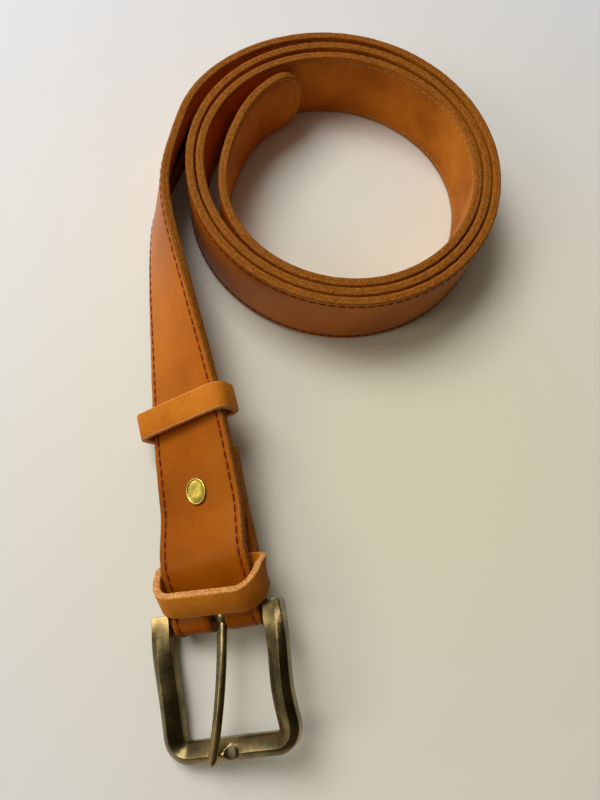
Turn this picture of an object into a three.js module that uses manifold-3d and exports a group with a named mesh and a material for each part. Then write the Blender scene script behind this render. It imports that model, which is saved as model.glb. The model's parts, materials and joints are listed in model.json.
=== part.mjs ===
// A leather travel belt with a zipped money pocket in its lining.
// It lies as it is stored: rolled up and standing on its edge, with the buckle end let out
// from the coil and turning over until the buckle lies nearly flat.
// Millimetres and degrees. +Z is up, +Y runs from the buckle towards the coil.

import * as THREE from 'three';
import { mergeVertices } from 'three/addons/utils/BufferGeometryUtils.js';
import Module from 'manifold-3d';

const solidLibrary = await Module();
solidLibrary.setup();

// ---------------------------------------------------------------- driving dimensions

const STRAP_WIDTH = 32;
const FACE_THICKNESS = 1.4;
const LINING_THICKNESS = 1.4;
const GLUE_LINE = 0.6;
const STRAP_THICKNESS = FACE_THICKNESS + GLUE_LINE + LINING_THICKNESS;
const EDGE_BEVEL = 0.5;
const TIP_CORNER_RADIUS = 12;

// Where the buckle bar and the coil stand on the ground, so that the origin is the middle.
const BAR_X = -57.25;
const BAR_Y = -93.5;
const BAR_HEIGHT = 12.6;
const COIL_X = BAR_X + 72.3;
const COIL_Y = BAR_Y + 166.9;

// The coil: an arithmetic spiral of the strap's middle surface.
const COIL_RADIUS = 66.1;
const COIL_PITCH = 4.0;
const COIL_TURNING = 1134;
const COIL_STEP = 18;
const EXIT_DIRECTION = 155.5;
const EXIT_BULGE = 3.7;
const EXIT_BULGE_SPREAD = 38;
const TIP_DIP = 7.0;
const TIP_DIP_AT = 1078;
const TIP_DIP_SPREAD = 38;
const SQUASH_PER_TURN = 1.4;
const SQUASH_DIRECTION = 80.5;

// The let-out end: one cubic curve in plan, twisting from upright to nearly flat.
const EXIT_HANDLE = 46;
const BUCKLE_HANDLE = 158;
const BUCKLE_HANDLE_TURN = 1.6;
const STRAIGHT_END = 16;
const TAIL_STEPS = 40;
const BUCKLE_TILT = 21.5;
const TWIST_START = -25.5;
const TWIST_END = 192.5;
const LIFT_START = -98;
const LIFT_LENGTH = 60;

// The fold around the buckle bar, measured along the strap from the bar. The strap has slid
// along the bar to the right, and its front layer bows out where the fixed keeper parts the two.
const BAR_RADIUS = 1.6;
const STRAP_SLID = 1.0;
const FOLD_RADIUS = 3.6;
const FOLD_STEPS = 8;
const FOLD_BACK_LENGTH = 56.5;
const FRONT_BOW = 4.5;
const BOW_START = 5;
const BOW_PEAK = 19;
const LAYERS_PART_AT = 16;
const LAYERS_MEET_AT = 39;
const LAYER_CLEARANCE = 0.4;
const SLOT_WIDTH = 6;
const SLOT_OFF_MIDDLE = 0.7;
const SLOT_REACH = 9;
const RIVET_AT = 42.5;
const RIVET_HOLE_RADIUS = 2.6;

// Stitching.
const STITCH_INSET = 2.3;
const THREAD_WIDTH = 0.8;
const THREAD_GAP = 0.16;
const THREAD_HEIGHT = 0.12;

// Size holes near the tip.
const SIZE_HOLE_COUNT = 5;
const SIZE_HOLE_FIRST = 90;
const SIZE_HOLE_SPACING = 25;
const SIZE_HOLE_RADIUS = 2.25;
const PUNCH_SPARE = 0.3;

// Keepers.
const FREE_KEEPER_AT = 72;
const FREE_KEEPER_SLID = -0.1;
const FREE_KEEPER_INNER_WIDTH = 33.8;
const FREE_KEEPER_INNER_DEPTH = 9;
const FREE_KEEPER_BAND = 10;
const FREE_KEEPER_THICKNESS = 2.5;
const FREE_KEEPER_ROLL = 6;
const FREE_KEEPER_SLANT = 4;
const FREE_KEEPER_CORNER = 3.4;
const FIXED_KEEPER_BAND = 10;
const FIXED_KEEPER_THICKNESS = 2.6;
const FIXED_KEEPER_HALF_WIDTH = 18.6;
const FIXED_KEEPER_SLID = 1.2;
const FIXED_KEEPER_BACK_HEIGHT = 1.1;
const FIXED_KEEPER_FRONT_HEIGHT = 11.9;
const FIXED_KEEPER_BACK_AT = 14.5;
const FIXED_KEEPER_FRONT_AT = 4.7;
const FIXED_KEEPER_LEAN = 46;
const FIXED_KEEPER_SKEW = 0.05;
const FIXED_KEEPER_BACK_CORNER = 2.4;
const FIXED_KEEPER_FRONT_CORNER = 7;
const KEEPER_CORNER_STEPS = 5;

// Buckle.
const BUCKLE_INNER_WIDTH = 34;
const BUCKLE_ARM_WIDTH = 7;
const BUCKLE_ARM_WAIST = 0.4;
const BUCKLE_WAIST_LENGTH = 36;
const BUCKLE_ARM_STEPS = 7;
const BUCKLE_END_BAR_WIDTH = 6.8;
const BUCKLE_END_BAR_AT = -42.2;
const BUCKLE_HEEL = 2.6;
const BUCKLE_HEIGHT = 6.8;
const BUCKLE_ARCH = 2.4;
const BUCKLE_HEEL_DROP = 0.4;
const BUCKLE_END_DROP = 1.5;
const BUCKLE_CORNER_RADIUS = 5;
const BUCKLE_CORNER_STEPS = 4;
const RIDGE_SHARE = 0.3;
const INNER_EDGE_SHARE = 0.35;
const OUTER_EDGE_SHARE = 0.5;
const BAR_HOLE_RADIUS = BAR_RADIUS + 0.3;
const BAR_HOLE_DEPTH = 3.5;
const BAR_END = 3;
const NOTCH_WIDTH = 5.5;
const NOTCH_DEPTH = 1.2;
const PRONG_AT = 2.7;
const PRONG_WIDTH = 3.6;
const PRONG_THICKNESS = 2.5;
const PRONG_START = 2.7;
const PRONG_START_HEIGHT = 1.5;
const PRONG_TIP_HEIGHT = 3;
const PRONG_REACH = 47.2;
const PRONG_SKEW = 11.5;
const PRONG_ARCH = 2.4;
const PRONG_BEND = 2;
const PRONG_TIP_SHARE = 0.85;
const PRONG_STEPS = 9;
const PRONG_EYE_INNER = 2.3;
const PRONG_EYE_OUTER = 3.8;
const PRONG_EYE_WIDTH = 3.2;

// Screw rivet.
const RIVET_GAP = 0.3;
const RIVET_HEAD_RADIUS = 4.85;
const RIVET_HEAD_OVAL = 0.8;
const RIVET_HEAD_EDGE = 0.4;
const RIVET_HEAD_RIM = 0.8;
const RIVET_HEAD_DISH = 0.5;
const RIVET_RIM_SLOPE = 0.4;
const RIVET_RIM_WIDTH = 1;
const RIVET_BARREL_RADIUS = 2.2;
const RIVET_BORE_RADIUS = 1.5;
const RIVET_BORE_DEPTH = 5.3;
const RIVET_BARREL_GAP = 0.3;
const SCREW_HEAD_RADIUS = 4.2;
const SCREW_HEAD_THICKNESS = 1.1;
const SCREW_HEAD_EDGE = 0.6;
const SCREW_SHANK_RADIUS = 1.2;
const SCREW_SHANK_LENGTH = 5;
const SCREW_SLOT_WIDTH = 1;
const SCREW_SLOT_DEPTH = 0.5;
const ON_AXIS = 0.001;
const ROUND_SEGMENTS = 20;

// Zip, measured along the strap from the bar.
const POCKET_NEAR_END = 98;
const POCKET_LENGTH = 470;
const WINDOW_WIDTH = 9;
const TAPE_INNER_EDGE = 0.9;
const TAPE_OUTER_EDGE = 8;
const TAPE_THICKNESS = 0.24;
const TAPE_OVERRUN = 8;
const COIL_ROW_INNER = 0.15;
const COIL_ROW_OUTER = 1.9;
const COIL_ROW_TOP = -0.3;
const COIL_ROW_BOTTOM = -1.45;
const POCKET_STITCH_OFFSET = 2;
const STOP_LENGTH = 2;
const SLIDER_AT = 109;
const SLIDER_LENGTH = 8.5;
const SLIDER_WIDTH = 6.8;
const SLIDER_PLATE = 0.85;
const SLIDER_PLATE_TOP = -1.75;
const SLIDER_TAPER = 0.72;
const FLANGE_LENGTH = 5.1;
const FLANGE_THICKNESS = 0.75;
const FLANGE_HEIGHT = 1.35;
const FLANGE_AT = 2.72;
const FLANGE_FORWARD = 1.2;
const ARCH_REACH = 2.9;
const ARCH_OPENING = 2.0;
const ARCH_THICKNESS = 0.9;
const ARCH_HEIGHT = 2.6;
const ARCH_WIDTH = 1.2;
const SLIDER_SINK = 0.1;
const PULL_AXIS_DROP = 0.85;
const PULL_LENGTH = 22;
const PULL_WIDTH = 5;
const PULL_TAPER = 0.8;
const PULL_THICKNESS = 0.9;
const PULL_BAR = 0.5;
const PULL_EYE_LENGTH = 3.4;
const PULL_EYE_HALF_WIDTH = 1.4;

const HALF_WIDTH = STRAP_WIDTH / 2;
const HALF_THICKNESS = STRAP_THICKNESS / 2;
const HALF_GLUE = GLUE_LINE / 2;

// ---------------------------------------------------------------- materials

function material(colour, roughness, metalness) {
  return new THREE.MeshStandardMaterial({ color: colour, roughness, metalness });
}

const grainLeather = material('#b5702f', 0.5, 0);
const liningLeather = material('#a86a2a', 0.75, 0);
const keeperLeather = material('#b87428', 0.5, 0);
const redThread = material('#6b1e12', 0.8, 0);
const goldThread = material('#b98245', 0.8, 0);
const antiqueBrass = material('#7c6c48', 0.38, 1);
const barSteel = material('#6f6a60', 0.4, 1);
const rivetBrass = material('#a8904a', 0.35, 1);
const zipFabric = material('#3a2f26', 0.9, 0);
const zipNylon = material('#4a3b2e', 0.6, 0);
const zipBrass = material('#9a8450', 0.35, 1);

// ---------------------------------------------------------------- small helpers

const radians = THREE.MathUtils.degToRad;
const lerp = THREE.MathUtils.lerp;
const UP = new THREE.Vector3(0, 0, 1);

function smoothstep(value) {
  const t = THREE.MathUtils.clamp(value, 0, 1);
  return t * t * (3 - 2 * t);
}

// A point beside a station: across the strap, then out through its grain side.
function offsetPoint(station, across, out) {
  return station.point.clone().addScaledVector(station.side, across).addScaledVector(station.out, out);
}

// Joins rings of points into one closed skin, either capped at its ends or run round in a loop.
// Every strip is split along the diagonal from its left edge, so that layers swept along the
// same twisting stations stay parallel. The flags tell which strips run leftward.
function skin(rings, leftward, loop) {
  const count = rings[0].length;
  const index = [];
  const last = loop ? rings.length : rings.length - 1;
  for (let ring = 0; ring < last; ring++) {
    const here = ring * count;
    const next = ((ring + 1) % rings.length) * count;
    for (let i = 0; i < count; i++) {
      const j = (i + 1) % count;
      const [split, corner] = leftward[i] ? [here + j, next + i] : [here + i, next + j];
      index.push(here + i, here + j, corner);
      index.push(split, next + j, next + i);
    }
  }
  const end = (rings.length - 1) * count;
  for (let i = 1; !loop && i < count - 1; i++) {
    index.push(0, i + 1, i);
    index.push(end, end + i, end + i + 1);
  }
  const geometry = new THREE.BufferGeometry().setFromPoints(rings.flat());
  geometry.setIndex(index);
  geometry.computeVertexNormals();
  return geometry;
}

// Sweeps an outline of [across, out] points, anticlockwise, along stations.
function sweep(stations, outline, loop = false) {
  const ringAt = (station) => outline(station).map(([across, out]) => offsetPoint(station, across, out));
  const first = outline(stations[0]);
  const leftward = first.map(([across], i) => first[(i + 1) % first.length][0] < across);
  return skin(stations.map(ringAt), leftward, loop);
}

function rectangle(left, right, bottom, top) {
  return [[left, bottom], [right, bottom], [right, top], [left, top]];
}

function toSolid(geometry) {
  const bare = geometry.clone();
  bare.deleteAttribute('normal');
  bare.deleteAttribute('uv');
  const merged = mergeVertices(bare, 1e-4);
  const mesh = new solidLibrary.Mesh({
    numProp: 3,
    vertProperties: new Float32Array(merged.attributes.position.array),
    triVerts: new Uint32Array(merged.index.array),
  });
  return new solidLibrary.Manifold(mesh);
}

function fromSolid(solid) {
  const mesh = solid.getMesh();
  const geometry = new THREE.BufferGeometry();
  geometry.setAttribute('position', new THREE.BufferAttribute(new Float32Array(mesh.vertProperties), 3));
  geometry.setIndex(Array.from(mesh.triVerts));
  geometry.computeVertexNormals();
  return geometry;
}

function cut(geometry, tools) {
  const start = toSolid(geometry);
  return fromSolid(tools.reduce((solid, tool) => solid.subtract(toSolid(tool)), start));
}

function join(first, second) {
  return fromSolid(toSolid(first).add(toSolid(second)));
}

function extrude(points, depth) {
  const shape = new THREE.Shape(points.map(([x, y]) => new THREE.Vector2(x, y)));
  return new THREE.ExtrudeGeometry(shape, { depth, bevelEnabled: false });
}

function block(width, length, height, x = 0, y = 0, z = 0) {
  return new THREE.BoxGeometry(width, length, height).translate(x, y, z);
}

// A round solid about +Z from a closed outline of [radius, height] points.
function turned(outline) {
  const points = [...outline, outline[0]].map(([radius, height]) => new THREE.Vector2(radius, height));
  return new THREE.LatheGeometry(points, ROUND_SEGMENTS).rotateX(Math.PI / 2);
}

function post(radius, length) {
  return new THREE.CylinderGeometry(radius, radius, length, ROUND_SEGMENTS).rotateX(Math.PI / 2);
}

// ---------------------------------------------------------------- the path of the strap

// A station is a place on the strap's middle surface: its point, the way across to its upper
// edge (side), the way out through its grain side (out), and the run along the strap from
// the coil's exit, which grows towards the buckle.

const tilt = radians(BUCKLE_TILT);

function coilRadius(winding) {
  const direction = radians(EXIT_DIRECTION - winding - SQUASH_DIRECTION);
  const squash = SQUASH_PER_TURN * winding / 360 * Math.max(0, Math.cos(direction)) ** 2;
  const bulge = EXIT_BULGE * Math.exp(-((winding / EXIT_BULGE_SPREAD) ** 2));
  const dip = TIP_DIP * Math.exp(-(((winding - TIP_DIP_AT) / TIP_DIP_SPREAD) ** 2));
  return COIL_RADIUS - COIL_PITCH * winding / 360 + bulge - dip - squash;
}

function coilPoint(winding) {
  const direction = radians(EXIT_DIRECTION - winding);
  const radius = coilRadius(winding);
  return new THREE.Vector3(COIL_X + radius * Math.cos(direction), COIL_Y + radius * Math.sin(direction), 0);
}

function coilHeading(winding) {
  return coilPoint(winding - 0.5).sub(coilPoint(winding + 0.5)).normalize();
}

const straightStart = new THREE.Vector3(
  BAR_X + STRAP_SLID * Math.cos(tilt) - FOLD_RADIUS * Math.sin(tilt), BAR_Y + STRAIGHT_END, 0);
const buckleHandle = new THREE.Vector3(0, BUCKLE_HANDLE, 0).applyAxisAngle(UP, radians(BUCKLE_HANDLE_TURN));

const tailCurve = new THREE.CubicBezierCurve3(
  coilPoint(0),
  coilPoint(0).addScaledVector(coilHeading(0), EXIT_HANDLE),
  straightStart.clone().add(buckleHandle),
  straightStart,
);
const tailLength = tailCurve.getLength();
const barRun = tailLength + STRAIGHT_END;

function edgeRestHeight(twist) {
  return HALF_WIDTH * Math.sin(twist) + HALF_THICKNESS * Math.cos(twist);
}

const fullLift = BAR_HEIGHT + STRAP_SLID * Math.sin(tilt) + FOLD_RADIUS * Math.cos(tilt)
  - edgeRestHeight(tilt);

// How far the front layer bows out at a distance from the bar.
function frontBow(fromBar) {
  const rise = smoothstep((fromBar - BOW_START) / (BOW_PEAK - BOW_START));
  const fall = smoothstep((fromBar - BOW_PEAK) / (LAYERS_MEET_AT - BOW_PEAK));
  return FRONT_BOW * (rise - fall);
}

function frontStation(point, heading, run) {
  const share = smoothstep((run - TWIST_START) / (TWIST_END - TWIST_START));
  const twist = lerp(Math.PI / 2, tilt, share);
  const lift = fullLift * smoothstep((run - tailLength - LIFT_START) / LIFT_LENGTH);
  const level = new THREE.Vector3().crossVectors(UP, heading);
  const side = level.multiplyScalar(Math.cos(twist)).addScaledVector(UP, Math.sin(twist));
  const out = new THREE.Vector3().crossVectors(heading, side);
  const raised = point.clone().setZ(edgeRestHeight(twist) + lift);
  raised.addScaledVector(out, frontBow(barRun - run));
  return { point: raised, side, out, run, half: HALF_WIDTH };
}

// The first step back from the exit is halved, because the strap begins to twist there.
function coilStations() {
  const windings = [0, COIL_STEP / 2];
  for (let winding = COIL_STEP; winding <= COIL_TURNING; winding += COIL_STEP) windings.push(winding);
  let run = 0;
  const stations = windings.slice(1).map((winding, i) => {
    run -= coilPoint(winding).distanceTo(coilPoint(windings[i]));
    return frontStation(coilPoint(winding), coilHeading(winding), run);
  });
  return stations.reverse();
}

function tailStations() {
  const stations = [];
  for (let step = 0; step <= TAIL_STEPS; step++) {
    const share = step / TAIL_STEPS;
    stations.push(frontStation(tailCurve.getPointAt(share), tailCurve.getTangentAt(share), share * tailLength));
  }
  return stations;
}

function straightStations() {
  const heading = new THREE.Vector3(0, -1, 0);
  return [0.25, 0.5, 0.75, 1].map((share) => {
    const point = straightStart.clone().addScaledVector(heading, share * STRAIGHT_END);
    return frontStation(point, heading, tailLength + share * STRAIGHT_END);
  });
}

const front = [...coilStations(), ...tailStations(), ...straightStations()];
const tipRun = front[0].run;

// The place on the strap at a run from the coil's exit. It stays on the flat between stations.
function stationAt(run) {
  const after = Math.max(1, front.findIndex((station) => station.run >= run));
  const [a, b] = [front[after - 1], front[after]];
  const share = (run - a.run) / (b.run - a.run);
  const mix = (key) => a[key].clone().lerp(b[key], share);
  return { point: mix('point'), side: mix('side'), out: mix('out'), run, half: HALF_WIDTH };
}

// All stations between two runs, with one at each end. Those too close to an end are left out.
function stretch(from, to) {
  const spare = 0.5;
  const between = front.filter((station) => station.run > from + spare && station.run < to - spare);
  return [stationAt(from), ...between, stationAt(to)];
}

// The strap's half width near its tip, where the corners are rounded.
function tipHalfWidth(fromTip) {
  const inset = TIP_CORNER_RADIUS - Math.min(fromTip, TIP_CORNER_RADIUS);
  return HALF_WIDTH - TIP_CORNER_RADIUS + Math.sqrt(TIP_CORNER_RADIUS ** 2 - inset ** 2);
}

function tipStations() {
  const distances = [0, 0.06, 0.25, 0.6, 1].map((share) => share * TIP_CORNER_RADIUS);
  return distances.map((distance) => ({ ...stationAt(tipRun + distance), half: tipHalfWidth(distance) }));
}

function foldStations() {
  const bar = foldFrame();
  const stations = [];
  for (let step = 1; step < FOLD_STEPS; step++) {
    const turn = Math.PI * step / FOLD_STEPS;
    const out = bar.out.clone().multiplyScalar(Math.cos(turn)).addScaledVector(bar.ahead, Math.sin(turn));
    const point = bar.point.clone().addScaledVector(out, FOLD_RADIUS);
    stations.push({ point, side: bar.side.clone(), out, run: barRun, half: HALF_WIDTH });
  }
  return stations;
}

// How far apart the middles of the two layers would be without the bow, at a distance from the bar.
function layerSpacing(fromBar) {
  const meeting = smoothstep((fromBar - LAYERS_PART_AT) / (LAYERS_MEET_AT - LAYERS_PART_AT));
  return lerp(2 * FOLD_RADIUS, STRAP_THICKNESS + LAYER_CLEARANCE, meeting);
}

function foldBackStations() {
  return stretch(barRun - FOLD_BACK_LENGTH, barRun).reverse().map((station) => {
    const fromBar = barRun - station.run;
    const spacing = layerSpacing(fromBar) + frontBow(fromBar);
    const point = station.point.clone().addScaledVector(station.out, -spacing);
    return { point, side: station.side, out: station.out.clone().negate(), run: station.run, half: HALF_WIDTH };
  });
}

// The buckle bar's own axes: across the strap, ahead towards the buckle's end, and out.
function barFrame() {
  return {
    point: new THREE.Vector3(BAR_X, BAR_Y, BAR_HEIGHT),
    side: new THREE.Vector3(Math.cos(tilt), 0, Math.sin(tilt)),
    ahead: new THREE.Vector3(0, -1, 0),
    out: new THREE.Vector3(-Math.sin(tilt), 0, Math.cos(tilt)),
  };
}

// The same axes at the middle of the strap's fold.
function foldFrame() {
  const bar = barFrame();
  return { ...bar, point: bar.point.clone().addScaledVector(bar.side, STRAP_SLID) };
}

const strapStations = [
  ...tipStations(),
  ...front.slice(1),
  ...foldStations(),
  ...foldBackStations(),
];

// Turns a station into a placing matrix: x across the strap, y back along it, z out.
function placeAt(object, station) {
  const side = station.side.clone().normalize();
  const out = station.out.clone().normalize();
  const along = new THREE.Vector3().crossVectors(out, side);
  object.applyMatrix4(new THREE.Matrix4().makeBasis(side, along, out).setPosition(station.point));
  return object;
}

// ---------------------------------------------------------------- strap

// Long enough to go through both layers of the fold.
const throughLength = 6 * STRAP_THICKNESS;

function rivetHoleTool() {
  return placeAt(post(RIVET_HOLE_RADIUS, throughLength), stationAt(barRun - RIVET_AT));
}

function sizeHoleTools() {
  return Array.from({ length: SIZE_HOLE_COUNT }, (_, i) => {
    const place = stationAt(tipRun + SIZE_HOLE_FIRST + i * SIZE_HOLE_SPACING);
    return placeAt(post(SIZE_HOLE_RADIUS, STRAP_THICKNESS + PUNCH_SPARE), place);
  });
}

function prongSlotTool() {
  const half = SLOT_WIDTH / 2;
  const beyondFold = -(FOLD_RADIUS + STRAP_THICKNESS);
  const shape = new THREE.Shape();
  shape.moveTo(-half, beyondFold);
  shape.lineTo(half, beyondFold);
  shape.lineTo(half, SLOT_REACH - half);
  shape.absarc(0, SLOT_REACH - half, half, 0, Math.PI);
  const options = { depth: throughLength, bevelEnabled: false, curveSegments: 5 };
  const tool = new THREE.ExtrudeGeometry(shape, options).translate(SLOT_OFF_MIDDLE, 0, -throughLength / 2);
  return placeAt(tool, foldFrame());
}

function faceOutline({ half }) {
  const top = HALF_THICKNESS;
  return [
    [-half, HALF_GLUE], [0, HALF_GLUE], [half, HALF_GLUE], [half, top - EDGE_BEVEL],
    [half - EDGE_BEVEL, top], [0, top], [EDGE_BEVEL - half, top], [-half, top - EDGE_BEVEL],
  ];
}

function strapFace() {
  return cut(sweep(strapStations, faceOutline), [rivetHoleTool(), prongSlotTool(), ...sizeHoleTools()]);
}

function liningOutline({ half }) {
  const bottom = -HALF_THICKNESS;
  return [
    [EDGE_BEVEL - half, bottom], [0, bottom], [half - EDGE_BEVEL, bottom], [half, bottom + EDGE_BEVEL],
    [half, -HALF_GLUE], [0, -HALF_GLUE], [-half, -HALF_GLUE], [-half, bottom + EDGE_BEVEL],
  ];
}

const pocketEndRun = barRun - POCKET_NEAR_END;
const pocketStartRun = pocketEndRun - POCKET_LENGTH;

function pocketWindowTool() {
  const half = WINDOW_WIDTH / 2;
  const outline = () => rectangle(-half, half, -STRAP_THICKNESS, HALF_GLUE);
  return sweep(stretch(pocketStartRun, pocketEndRun), outline);
}

function strapLining() {
  const tools = [rivetHoleTool(), prongSlotTool(), ...sizeHoleTools(), pocketWindowTool()];
  return cut(sweep(strapStations, liningOutline), tools);
}

// ---------------------------------------------------------------- stitching

// Stations for a bead that runs along the strap surface through the given stations, each
// shifted across by its own amount, with its side turned to lie across the bead.
function beadStations(places, loop = false) {
  const points = places.map(({ station, across }) => offsetPoint(station, across, 0));
  return places.map(({ station }, i) => {
    const before = points[loop ? (i + points.length - 1) % points.length : Math.max(i - 1, 0)];
    const after = points[loop ? (i + 1) % points.length : Math.min(i + 1, points.length - 1)];
    const heading = after.clone().sub(before).normalize();
    const side = new THREE.Vector3().crossVectors(station.out, heading).normalize();
    return { point: points[i], side, out: station.out };
  });
}

function outerBead() {
  const base = HALF_THICKNESS + THREAD_GAP;
  return [[-THREAD_WIDTH / 2, base], [THREAD_WIDTH / 2, base], [0, base + THREAD_HEIGHT]];
}

function innerBead() {
  return outerBead().map(([across, out]) => [across, -out]).reverse();
}

// The seam follows both edges and the rounded tip, a fixed inset inside the outline.
function seamPlaces() {
  const across = HALF_WIDTH - STITCH_INSET;
  const radius = TIP_CORNER_RADIUS - STITCH_INSET;
  const legs = strapStations.slice(tipStations().length);
  const corner = [90, 60, 30].map((angle) => ({
    station: stationAt(tipRun + TIP_CORNER_RADIUS - radius * Math.sin(radians(angle))),
    across: HALF_WIDTH - TIP_CORNER_RADIUS + radius * Math.cos(radians(angle)),
  }));
  const upper = [...corner, ...legs.map((station) => ({ station, across }))];
  const lower = upper.map((place) => ({ station: place.station, across: -place.across }));
  return [...lower.reverse(), ...upper];
}

function needleThread() {
  return sweep(beadStations(seamPlaces()), outerBead);
}

function bobbinThread() {
  return sweep(beadStations(seamPlaces()), innerBead);
}

function pocketThread() {
  const across = WINDOW_WIDTH / 2 + POCKET_STITCH_OFFSET;
  const run = stretch(pocketStartRun - POCKET_STITCH_OFFSET, pocketEndRun + POCKET_STITCH_OFFSET);
  const upper = run.map((station) => ({ station, across }));
  const lower = run.map((station) => ({ station, across: -across })).reverse();
  return sweep(beadStations([...upper, ...lower], true), innerBead, true);
}

// ---------------------------------------------------------------- zip

function zipTape(hand) {
  const [near, far] = [hand * TAPE_INNER_EDGE, hand * TAPE_OUTER_EDGE].sort((a, b) => a - b);
  const outline = () => rectangle(near, far, -TAPE_THICKNESS / 2, TAPE_THICKNESS / 2);
  return sweep(stretch(pocketStartRun - TAPE_OVERRUN, pocketEndRun + TAPE_OVERRUN), outline);
}

function zipCoilRow(hand) {
  const [near, far] = [hand * COIL_ROW_INNER, hand * COIL_ROW_OUTER].sort((a, b) => a - b);
  const outline = () => rectangle(near, far, COIL_ROW_BOTTOM, COIL_ROW_TOP);
  const ends = 2 * STOP_LENGTH;
  return sweep(stretch(pocketStartRun + ends, pocketEndRun - ends), outline);
}

function zipStop() {
  const height = COIL_ROW_TOP - COIL_ROW_BOTTOM;
  return block(2 * COIL_ROW_OUTER, STOP_LENGTH, height, 0, 0, (COIL_ROW_TOP + COIL_ROW_BOTTOM) / 2);
}

// Plan outline of the slider: wide at its mouth, narrowing to where the rows come out joined.
function sliderPlate() {
  const half = SLIDER_WIDTH / 2;
  const end = SLIDER_LENGTH / 2;
  const narrow = SLIDER_TAPER * half;
  const points = [[-half, end], [-half, 0], [-narrow, -end], [narrow, -end], [half, 0], [half, end]];
  return extrude(points, SLIDER_PLATE).translate(0, 0, SLIDER_PLATE_TOP - SLIDER_PLATE);
}

function sliderFlange(hand) {
  const middle = SLIDER_PLATE_TOP - SLIDER_SINK + FLANGE_HEIGHT / 2;
  return block(FLANGE_THICKNESS, FLANGE_LENGTH, FLANGE_HEIGHT, hand * FLANGE_AT, FLANGE_FORWARD, middle);
}

// The arch that holds the pull, standing on the slider's plate.
function sliderArch() {
  const [foot, inside] = [SLIDER_SINK, ARCH_THICKNESS - ARCH_HEIGHT];
  const points = [
    [-ARCH_REACH, foot], [-ARCH_OPENING, foot], [-ARCH_OPENING, inside], [ARCH_OPENING, inside],
    [ARCH_OPENING, foot], [ARCH_REACH, foot], [ARCH_REACH, -ARCH_HEIGHT], [-ARCH_REACH, -ARCH_HEIGHT],
  ];
  const arch = extrude(points, ARCH_WIDTH).rotateY(Math.PI / 2).rotateX(Math.PI / 2);
  return arch.translate(-ARCH_WIDTH / 2, 0, SLIDER_PLATE_TOP - SLIDER_PLATE);
}

function zipSlider() {
  const parts = [sliderFlange(1), sliderFlange(-1), sliderArch()];
  return parts.reduce((body, part) => join(body, part), sliderPlate());
}

const pullAxisHeight = SLIDER_PLATE_TOP - SLIDER_PLATE - PULL_AXIS_DROP;

// The pull's own origin is the middle of the bar that hangs in the slider's arch.
function zipPull() {
  const half = PULL_WIDTH / 2;
  const narrow = PULL_TAPER * half;
  const shape = new THREE.Shape();
  shape.moveTo(-half, -PULL_BAR);
  shape.lineTo(half, -PULL_BAR);
  shape.lineTo(narrow, PULL_LENGTH - half);
  shape.absarc(0, PULL_LENGTH - half, narrow, 0, Math.PI);
  const eye = new THREE.Path();
  eye.moveTo(-PULL_EYE_HALF_WIDTH, PULL_BAR);
  eye.lineTo(-PULL_EYE_HALF_WIDTH, PULL_BAR + PULL_EYE_LENGTH);
  eye.lineTo(PULL_EYE_HALF_WIDTH, PULL_BAR + PULL_EYE_LENGTH);
  eye.lineTo(PULL_EYE_HALF_WIDTH, PULL_BAR);
  shape.holes.push(eye);
  const options = { depth: PULL_THICKNESS, bevelEnabled: false, curveSegments: 6 };
  return new THREE.ExtrudeGeometry(shape, options).translate(0, 0, -PULL_THICKNESS / 2);
}

// ---------------------------------------------------------------- keepers

// Points of a rounded rectangle, anticlockwise, starting at the right of the bottom side.
function roundedLoop(halfWidth, bottom, top, bottomRadius, topRadius) {
  const points = [];
  const corners = [
    [halfWidth - bottomRadius, bottom + bottomRadius, bottomRadius, -90],
    [halfWidth - topRadius, top - topRadius, topRadius, 0],
    [topRadius - halfWidth, top - topRadius, topRadius, 90],
    [bottomRadius - halfWidth, bottom + bottomRadius, bottomRadius, 180],
  ];
  for (const [x, y, radius, startAngle] of corners) {
    for (let step = 0; step <= KEEPER_CORNER_STEPS; step++) {
      const angle = radians(startAngle + 90 * step / KEEPER_CORNER_STEPS);
      points.push([x + radius * Math.cos(angle), y + radius * Math.sin(angle)]);
    }
  }
  return points;
}

// A leather band closed in a loop round the strap. The lean turns the band about its own
// middle line, and the shift moves it along the strap.
function keeperBand(loop, width, thickness, lean, shift) {
  const centre = loop.map(([x, z]) => new THREE.Vector3(x, shift(x, z), z));
  const stations = centre.map((point, i) => {
    const before = centre[(i + centre.length - 1) % centre.length];
    const after = centre[(i + 1) % centre.length];
    const heading = after.clone().sub(before).normalize();
    const angle = radians(lean(point.z));
    const across = new THREE.Vector3(0, Math.cos(angle), Math.sin(angle));
    const out = new THREE.Vector3().crossVectors(heading, across).normalize();
    const side = new THREE.Vector3().crossVectors(out, heading);
    return { point, side, out };
  });
  const outline = () => rectangle(-width / 2, width / 2, -thickness / 2, thickness / 2);
  return sweep(stations, outline, true);
}

function freeKeeper() {
  const middle = FREE_KEEPER_THICKNESS / 2;
  const halfDepth = FREE_KEEPER_INNER_DEPTH / 2 + middle;
  const halfWidth = FREE_KEEPER_INNER_WIDTH / 2 + middle;
  const loop = roundedLoop(halfWidth, -halfDepth, halfDepth, FREE_KEEPER_CORNER, FREE_KEEPER_CORNER);
  const band = keeperBand(loop, FREE_KEEPER_BAND, FREE_KEEPER_THICKNESS, () => 0, () => 0);
  band.rotateZ(radians(FREE_KEEPER_SLANT)).rotateY(radians(FREE_KEEPER_ROLL));
  return band.translate(FREE_KEEPER_SLID, 0, 0);
}

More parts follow.
